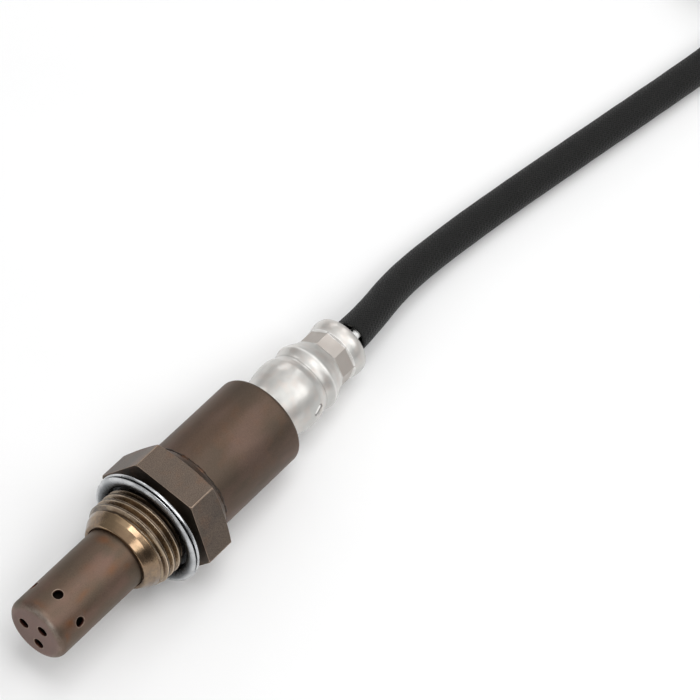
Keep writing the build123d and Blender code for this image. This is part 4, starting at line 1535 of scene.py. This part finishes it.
@dataclass
class CrimpedTube:
    """Thin pale tail, swaged into two bulges and an eight-sided waist round the grommet."""

    waist_front: float = 46.4
    waist_rear: float = 49.8
    panels: int = 8
    panel_turn: float = -4.3
    flat_r: float = 5.2
    slot_at: float = 37.55
    slot_turn: float = -72.8
    slot_r: float = 7.1  # of the tube there
    slot_long: float = 2.3
    slot_wide: float = 1.25
    slot_deep: float = 0.22
    slot_lean: float = 0.08
    slot_way: tuple[float, float] = (-0.83, -0.55)  # along the axis and round it
    crease_at: float = 40.6
    crease_wide: float = 0.12
    crease_deep: float = 0.05
    ledge: tuple[float, float] = (0.1, 0.13)  # painted highlight on the ledge: how far behind the waist, and its width
    ridge: tuple[float, float] = (42.8, 0.2)  # painted highlight along the second bulge's ridge: where it is, and its width
    # painted shade on the rear slope of the second bulge: where it is, and its width
    flank: tuple[float, float] = (44.6, 0.7)
    wave: tuple[float, float] = (0.16, 0.03)
    lip_r: float = 0.2
    columns: int = 208
    rows: int = 170
    knots: tuple[tuple[float, float], ...] = (
        (28.6, 6.3), (30.2, 6.3), (31.5, 6.32), (33.5, 6.61), (35.2, 6.92), (37.0, 7.13),
        (38.6, 7.04), (40.3, 6.52), (41.1, 6.57), (42.45, 6.94), (42.85, 7.0), (43.25, 6.92),
        (44.4, 6.45), (45.3, 6.02), (46.2, 5.76), (47.2, 5.66), (49.4, 5.66), (50.4, 5.80),
        (51.2, 5.98), (51.9, 6.06), (52.5, 6.02), (52.9, 5.88),
    )

    def _radius(self, station: np.ndarray) -> np.ndarray:
        """Finds the smooth radius through the knots, by a monotone cubic.

        Args:
            station: mm along the axis.

        Returns:
            The radius at each station, in mm.
        """
        s, r = np.array(self.knots).T
        step = np.diff(s)
        slope = np.diff(r) / step
        before, after = slope[:-1], slope[1:]
        mean = 2 * before * after / (before + after + 1e-12)
        inner = np.where(before * after > 0, mean, 0.0)
        tangent = np.concatenate((slope[:1], inner, slope[-1:]))
        k = np.clip(np.searchsorted(s, station) - 1, 0, len(step) - 1)
        t = (station - s[k]) / step[k]
        return (
            (2 * t**3 - 3 * t**2 + 1) * r[k] + (t**3 - 2 * t**2 + t) * step[k] * tangent[k]
            + (-2 * t**3 + 3 * t**2) * r[k + 1] + (t**3 - t**2) * step[k] * tangent[k + 1]
        )

    def _off_panel(self, turn: np.ndarray) -> np.ndarray:
        """Radians from the middle of the nearest flat of the waist."""
        return nearest(turn - math.radians(self.panel_turn), math.tau / self.panels)

    def _panelled(self, station: np.ndarray, radius: np.ndarray, turn: np.ndarray) -> np.ndarray:
        """Presses the flats of the waist into a plain radius.

        Args:
            station: mm along the axis.
            radius: mm off the axis.
            turn: radians from the top towards +Y.

        Returns:
            The pressed radius, in mm.
        """
        pressed = np.minimum(radius, self.flat_r / np.cos(self._off_panel(turn)))
        share = fade(station, self.waist_rear + 0.15, self.waist_rear)
        share = share * fade(station, self.waist_front - 0.35, self.waist_front + 0.15)
        return pressed * share + radius * (1 - share)

    def _slot(self, station: np.ndarray, turn: np.ndarray) -> tuple[np.ndarray, np.ndarray]:
        """Finds where places lie against the slanting slot.

        Args:
            station: mm along the axis.
            turn: radians from the top towards +Y.

        Returns:
            How far away they are, 1 on its rim, and how far across it in mm.
        """
        around = np.clip(np.radians(aside(turn, self.slot_turn)), -1.0, 1.0) * self.slot_r
        x, (way_x, way_y) = station - self.slot_at, self.slot_way
        along, across = way_x * x + way_y * around, way_x * around - way_y * x
        reach = np.clip(np.abs(along) - (self.slot_long - self.slot_wide) / 2, 0.0, None)
        return np.hypot(reach, across) / (self.slot_wide / 2), across

    def _lines(self) -> tuple[np.ndarray, np.ndarray]:
        """Lays out the grid, closer at the crease, the waist's end and the slot.

        Returns:
            The stations of its rows and the turns of its columns.
        """
        crease, waist, slot = self.crease_at, self.waist_rear, self.slot_at
        station = np.concatenate((
            np.linspace(self.knots[0][0], self.knots[-1][0], self.rows),
            np.linspace(crease - 0.35, crease + 0.35, 9),
            np.linspace(waist - 0.2, waist + 0.3, 11),
            np.linspace(slot - 1.4, slot + 1.4, 48),
        ))
        turn = turns(self.columns, math.radians(self.panel_turn + 180 / self.panels - 360))[0]
        close = math.radians(self.slot_turn) + np.linspace(-1.2, 1.2, 44) / self.slot_r
        turn = np.concatenate((turn, close))
        return np.unique(np.round(station, 3)), np.unique(np.round(turn, 5))

    def build(self) -> None:
        """Builds the tube, its slot, crease, rolled mouth and inside."""
        rows, columns = self._lines()
        station, turn = np.meshgrid(rows, columns, indexing="ij")
        crease = hump(station, self.crease_at, self.crease_wide)
        away, across = self._slot(station, turn)
        lean = np.clip(across / self.slot_wide, -1, 1) * self.slot_lean
        radius = self._panelled(station, self._radius(station), turn)
        radius = radius - crease * self.crease_deep
        radius = radius - smooth(fade(away, 1.2, 0.9)) * (self.slot_deep + lean)
        radius = radius - np.abs(ripple(AXIS.points(station, radius, turn), *self.wave))
        ring = fade(np.abs(away - 0.9), 0.34, 0.0)
        press = fade(station, self.waist_front, self.waist_front + 0.3)
        press = press * fade(station, self.waist_rear, self.waist_rear - 0.2)
        across_flat = self._off_panel(turn) / (math.pi / self.panels)
        ledge = hump(station - self.waist_rear, *self.ledge) * fade(across_flat, 0.97, 0.87)
        # painted highlights on the ledge, the ridge and the slot's middle
        shine = ledge + hump(station, *self.ridge) * 0.5 + fade(away, 0.72, 0.52)
        marks = {
            # painted shade in the crease and round the slot's rim
            "crease": np.clip(crease * 0.25 + ring * 0.85, 0.0, 1.0),
            # the pressed flats' tone, and painted shade on the rear slope of the second bulge
            "press": np.maximum(press, hump(station, *self.flank) * 0.45),
            "shine": np.clip(shine, 0.0, 1.0),
        }
        piece = Piece("crimped_tube")
        piece.grid(AXIS.points(station, radius, turn), marks=marks)
        piece.grid(lathe(*self._mouth(), columns[None, :]))
        piece.finish(Finish.TUBE, "rear_tube", sharp=35.0)

    def _mouth(self) -> np.ndarray:
        """Lays out the rolled lip and the inside behind it.

        Returns:
            The stations and the radii, as two rows.
        """
        end_s = self.knots[-1][0]
        end_r = float(self._radius(np.array(end_s)))
        lip = arc((end_s, end_r - self.lip_r), self.lip_r, 90, -90, 6)
        lip += [(end_s - 0.6, end_r - 0.42), (end_s - 1.6, end_r - 0.62)]
        lip += [(end_s - 3.0, 4.9), (end_s - 6.5, 4.85)]
        return refine(lip, 0.5)


# ---------------------------------------------------------------- lead
@dataclass
class BraidedLead:
    """The four-core lead in its braided sleeving, with its spare length in a tied hank."""

    diameter: float = 6.4
    length: float = 0.471
    leave: float = 54.8
    straight: float = 5.8
    columns: int = 48
    row_step: float = 0.8
    spline_steps: int = 24
    first_run: tuple[tuple[float, float, float], ...] = (  # x, y and height
        (78.0, 1.6, 5.0), (95.0, 0.4, 3.4), (113.0, -2.3, 3.2), (135.0, -6.1, 3.2),
        (160.0, -10.3, 3.2), (184.0, -14.0, 4.0), (201.0, -14.0, 4.0), (251.0, -14.0, 4.0),
    )
    last_run: tuple[tuple[float, float, float], ...] = (
        (201.0, -14.0, 10.4), (251.0, -14.0, 10.4), (269.0, -14.0, 10.4),
        (287.0, -12.8, 8.0), (301.0, -12.8, 8.0),
    )
    hank_x: tuple[float, float] = (201.0, 251.0)
    hank_y: float = 6.5
    hank_r: float = 20.5
    hank_step: float = 15.0  # degrees between the points of a turn
    low: float = 4.0
    crossing: float = 6.4
    rise_over: float = 132.0  # degrees in which the second turn climbs over the first
    flare: tuple[tuple[float, float], ...] = (  # length and radius
        (0.0, 3.46), (2.0, 3.4), (6.0, 3.24), (12.0, 3.16), (400.0, 3.12),
    )
    askew: tuple[float, float] = (0.05, 1.2)  # how far the cut end stands off square
    askew_turn: float = math.radians(-34.0)
    askew_run: float = 6.0
    weave_wave: tuple[float, float] = (0.22, 0.05)
    hem: float = 0.24
    hem_angles: tuple[int, ...] = (-10, 15, 40, 65, 90)
    hem_runs: tuple[float, ...] = (-1.2, -0.6, -0.45, -0.3, -0.15, 0.0)

    def route(self) -> list[Vector]:
        """Lists the control points of the lead's line, from the tube to the connector.

        Returns:
            The points, in metres.
        """
        points = [AXIS.point(self.leave), AXIS.point(self.leave + self.straight)]
        points += [above(*place) for place in self.first_run]
        near, far = self.hank_x
        for k in range(1, 12):
            points.append(self._turn_point(far, -90 + self.hank_step * k, self.low))
        points += [self._turn_point(x, 90, self.low) for x in (far, near)]
        for k in range(1, 12):
            share = min(1.0, self.hank_step * k / self.rise_over)
            height = self.low + self.crossing * smooth(share)
            points.append(self._turn_point(near, 90 + self.hank_step * k, height))
        return points + [above(*place) for place in self.last_run]

    def _turn_point(self, x: float, degrees: float, height: float) -> Vector:
        """Finds a point on one of the hank's two turns.

        Args:
            x: the turn's middle, in mm.
            degrees: where it is round the turn.
            height: mm over the surface.

        Returns:
            The point, in metres.
        """
        angle = math.radians(degrees)
        y = self.hank_y + self.hank_r * math.sin(angle)
        return above(x + self.hank_r * math.cos(angle), y, height)

    def line(self) -> np.ndarray:
        """Reads the lead's smooth line from its NURBS spline.

        Returns:
            Evenly spaced points, in metres.
        """
        curve = bpy.data.curves.new("lead_line", "CURVE")
        curve.dimensions = "3D"
        spline = curve.splines.new("NURBS")
        route = self.route()
        spline.points.add(len(route) - 1)
        for point, place in zip(spline.points, route):
            point.co = (*place, 1.0)
        spline.order_u = 3
        spline.use_endpoint_u = True
        spline.resolution_u = self.spline_steps
        holder = bpy.data.objects.new("lead_line", curve)
        read = bpy.data.meshes.new_from_object(holder)
        raw = np.array([tuple(v.co) for v in read.vertices])
        bpy.data.objects.remove(holder)
        bpy.data.meshes.remove(read)
        bpy.data.curves.remove(curve)
        run = np.append(0.0, np.cumsum(np.linalg.norm(np.diff(raw, axis=0), axis=1)))
        even = np.linspace(0.0, run[-1], int(run[-1] / (self.row_step * MM)) + 1)
        return np.stack([np.interp(even, run, raw[:, k]) for k in range(3)], axis=1)

    @staticmethod
    def _frames(line: np.ndarray) -> tuple[np.ndarray, np.ndarray, np.ndarray]:
        """Carries directions along the line without twisting them.

        Args:
            line: its points.

        Returns:
            Unit vectors ahead, out and sideways at each point.
        """
        ahead = np.gradient(line, axis=0)
        ahead /= np.linalg.norm(ahead, axis=1, keepdims=True)
        out = np.zeros_like(line)
        out[0] = AXIS.up - ahead[0] * np.dot(AXIS.up, ahead[0])
        for k in range(1, len(line)):
            out[k] = out[k - 1] - ahead[k] * np.dot(out[k - 1], ahead[k])
            out[k] /= np.linalg.norm(out[k])
        return ahead, out, np.cross(ahead, out)

    def build(self) -> None:
        line = self.line()
        ahead, out, side = self._frames(line)
        run = np.arange(len(line)) * np.linalg.norm(line[1] - line[0]) / MM
        turn = turns(self.columns)
        spread = np.cos(turn)[..., None] * out[:, None] - np.sin(turn)[..., None] * side[:, None]
        flare = np.interp(run, *np.array(self.flare).T)
        radius = flare[:, None] + ripple(line[:, None] + spread * 3 * MM, *self.weave_wave)
        even, tilted = self.askew
        lag = even + tilted * np.cos(turn - self.askew_turn)
        lag = lag * fade(run, self.askew_run, 0.0)[:, None] ** 1.5
        points = line[:, None] + (spread * radius[..., None] + ahead[:, None] * lag[..., None]) * MM
        piece = Piece("braided_sleeving")
        marks = {"turn": turn / math.tau, "run": run[:, None] + lag}
        self._fold(piece, points[0], ahead[0], marks["turn"], marks["run"][0])
        index = piece.grid(points, marks=marks)
        piece.cap(index[-1])
        nodes = ("braided_lead", "lead_hank", "lead_tail")
        made = piece.finish(Finish.BRAID, *nodes, sharp=50.0, merge=1e-6)
        self._lay_map(made.data)
        tuple(AXIS.point(self.leave))

    def _fold(
        self, piece: Piece, first: np.ndarray, ahead: np.ndarray, turn: np.ndarray, run: np.ndarray
    ) -> None:
        """Adds the cut end, folded in on itself.

        Args:
            piece: what it goes into.
            first: the sleeving's first ring of points.
            ahead: unit vector along the line there.
            turn: the ring's turns, from 0 to 1.
            run: the ring's lengths in mm.
        """
        middle = first.mean(axis=0)
        inward = (middle - first) / np.linalg.norm(middle - first, axis=1, keepdims=True)
        rows = [first + (middle - first) * 0.3 + ahead * 1.6 * MM]
        for angle in np.radians(self.hem_angles):
            roll = inward * (1 - math.sin(angle)) - ahead * math.cos(angle)
            rows.append(first + roll * self.hem * MM)
        back = np.array(self.hem_runs)[:, None]
        piece.grid(np.stack(rows), marks={"turn": turn, "run": back + run})

    @staticmethod
    def _lay_map(mesh: bpy.types.Mesh) -> None:
        """Turns the marks of turn and run into a UV map without a jump at the seam.

        Args:
            mesh: the sleeving's mesh.
        """
        corners = read_all(mesh.loops, "vertex_index", np.int32)
        u = read_all(mesh.attributes["turn"].data, "value", np.float32)[corners]
        v = read_all(mesh.attributes["run"].data, "value", np.float32)[corners]
        starts = read_all(mesh.polygons, "loop_start", np.int32)
        totals = read_all(mesh.polygons, "loop_total", np.int32)
        for start, total in zip(starts, totals):
            part = slice(start, start + total)
            if total <= 4 and np.ptp(u[part]) > 0.5:
                u[part] = np.where(u[part] < 0.5, u[part] + 1.0, u[part])
        layer = mesh.uv_layers.new(name=LAY_MAP)
        layer.data.foreach_set("uv", np.stack((u, v), axis=1).reshape(-1))


@dataclass
class LeadWires:
    """The four wires, where they cross from the grommet into the sleeving."""

    diameter: float = 1.7
    circle_r: float = 2.05
    bend: float = 0.08
    turn: float = -31.0
    front: float = 54.82
    rear: float = 58.4
    rows: int = 12
    columns: int = 28
    finishes: tuple[Finish, ...] = (Finish.WHITE_WIRE, Finish.BLACK_WIRE) * 2

    def build(self) -> None:
        """Builds each wire as a closed tube that bends in slightly."""
        around = turns(self.columns)
        station = np.linspace(self.front, self.rear, self.rows)[:, None]
        heart_r = self.circle_r - self.bend * fade(station, self.front, self.rear)
        out = heart_r + self.diameter / 2 * np.cos(around)
        side = self.diameter / 2 * np.sin(around)
        radius, lean = np.hypot(out, side), np.arctan2(side, out)
        for k, finish in enumerate(self.finishes):
            middle = math.radians(self.turn + 360 / len(self.finishes) * k)
            piece = Piece(f"lead_wire_{k + 1}")
            index = piece.grid(AXIS.points(station, radius, middle + lean))
            piece.cap(index[0], flip=True)
            piece.cap(index[-1])
            piece.finish(finish, sharp=60.0)


# ---------------------------------------------------------------- studio
@dataclass(frozen=True)
class Softbox:
    """A soft light that stands off the object in a given direction."""

    name: str
    heading: float
    elevation: float
    width: float
    height: float
    power: float
    distance: float = 0.9

    def place(self, target: Vector) -> None:
        """Adds the light.

        Args:
            target: what it is aimed at.
        """
        light = bpy.data.lights.new(self.name, "AREA")
        light.shape = "RECTANGLE"
        light.size, light.size_y = self.width, self.height
        light.energy = self.power
        heading, elevation = math.radians(self.heading), math.radians(self.elevation)
        flat = math.cos(elevation)
        way = Vector((flat * math.cos(heading), flat * math.sin(heading), math.sin(elevation)))
        made = add_object(self.name, light)
        made.location = target + way * self.distance
        made.rotation_euler = way.to_track_quat("Z", "Y").to_euler()


@dataclass
class Studio:
    """Pale floor, soft lights and the camera."""

    target: tuple[float, float, float] = (0.01, 0.0, 0.0)
    view_right: tuple[float, float, float] = (0.6278277, -0.7684247, 0.1239190)
    view_up: tuple[float, float, float] = (0.6237532, 0.5919402, 0.5104300)
    view_back: tuple[float, float, float] = (-0.4655796, -0.2431672, 0.8509438)
    viewpoint: tuple[float, float, float] = (-232.0176204, -153.655695, 526.396445)  # mm
    lens: float = 173.6095
    sensor_width: float = 36.0
    floor_half: float = 3.0
    floor_gap: float = 0.02
    room: tuple[tuple[float, float], ...] = (  # height and brightness
        (0.0, 0.36), (0.2, 0.28), (0.6, 0.36), (0.85, 0.85), (1.0, 0.95),
    )
    flag: tuple[float, float, float] = (-0.273, -0.841, 0.469)
    flag_edge: float = 0.88
    flag_soft: float = 0.09
    flag_depth: float = 0.72
    softboxes: tuple[Softbox, ...] = (
        Softbox("overhead", -90.0, 87.0, 0.34, 0.45, 2.0),
        Softbox("front", -141.0, 45.0, 0.34, 0.3, 0.85),
        Softbox("key", -55.0, 47.0, 0.5, 0.5, 1.7),
        Softbox("side", 50.0, 26.0, 0.35, 0.3, 0.6),
        Softbox("strip", 13.0, 48.0, 0.2, 0.5, 0.7),
    )

    def camera(self) -> None:
        """Adds the camera."""
        data = bpy.data.cameras.new("camera")
        data.lens, data.sensor_width = self.lens, self.sensor_width
        turned = Matrix((self.view_right, self.view_up, self.view_back)).transposed().to_4x4()
        turned.translation = Vector(self.viewpoint) * MM
        made = add_object("camera", data)
        made.matrix_world = turned
        bpy.context.scene.camera = made

    def light(self) -> None:
        """Adds the floor, the surroundings and the lights."""
        self._floor()
        self._surroundings()
        for softbox in self.softboxes:
            softbox.place(Vector(self.target))
        bpy.context.scene.view_settings.view_transform = "Standard"

    def _floor(self) -> None:
        """Adds a plain pale floor that the sensor lies on."""
        half, height = self.floor_half, (SURFACE_Z - self.floor_gap) * MM
        corners = [(x * half, y * half, height) for x, y in ((-1, -1), (1, -1), (1, 1), (-1, 1))]
        mesh = bpy.data.meshes.new("floor")
        mesh.from_pydata(corners, [], [(0, 1, 2, 3)])
        paper = bpy.data.materials.new("floor_paper")
        board = Board(paper)
        colour = board.blend(board.cloud(0.05, 3.0), (0.93,) * 3, (0.91,) * 3)
        board.surface(Base_Color=colour, Roughness=0.9, Specular_IOR_Level=0.1)
        mesh.materials.append(paper)
        add_object("floor", mesh)

    def _surroundings(self) -> None:
        """Adds a pale room, brighter overhead than at the horizon, with a black flag."""
        world = bpy.data.worlds.new("studio")
        board = Board(world)
        where = board.node("ShaderNodeTexCoord", output="Generated")
        height = board.parts(where)[2]
        stops = [(place, (value,) * 3) for place, value in self.room]
        grey = board.node("ShaderNodeValToRGB", {"stops": stops}, {0: height})
        facing = {"operation": "DOT_PRODUCT"}
        flag = board.node("ShaderNodeVectorMath", facing, {0: where, 1: self.flag}, "Value")
        shade = flag.ramp(self.flag_edge, self.flag_edge + self.flag_soft) * self.flag_depth
        back = board.node("ShaderNodeBackground", inputs={0: grey, 1: 1.0 - shade})
        board.node("ShaderNodeOutputWorld", inputs={0: back})
        bpy.context.scene.world = world


# ---------------------------------------------------------------- the whole
SLOT_FINISHES = {finish.value.name: finish for finish in Finish}
ROUNDED_NODES: dict[str, float] = {  # mm of the rounding
    "connector_housing": 0.3, "terminal_retainer": 0.2, "tie_1": 0.25, "tie_2": 0.25,
    "end_band": 0.35,
}


def dress_nodes() -> None:
    """Gives every CAD node the finish of its slot, and rounds the moulded ones' edges."""
    for part in frame["record"]["subparts"]:
        name, slot = part["node"], part["material_slot"]
        node = frame["nodes"][name]
        node.data.materials.clear()
        node.data.materials.append(SLOT_FINISHES[slot].material())
        if name in ROUNDED_NODES:
            round_edges(node, ROUNDED_NODES[name], degrees=35.0, segments=3)
        log.info("dressed %s in %s", name, slot)


def main() -> None:
    """Builds the scene, one sub-assembly after the other."""
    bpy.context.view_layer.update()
    studio = Studio()
    studio.camera()
    BraidedLead().build()
    dress_nodes()
    for part in (
        ProtectionTube(), Housing(), CrushGasket(), RearSleeve(), CrimpedTube(), LeadWires()
    ):
        log.info("building %s", type(part).__name__)
        part.build()
    studio.light()


if __name__ == "__main__":
    logging.basicConfig(level=logging.INFO)
    main()
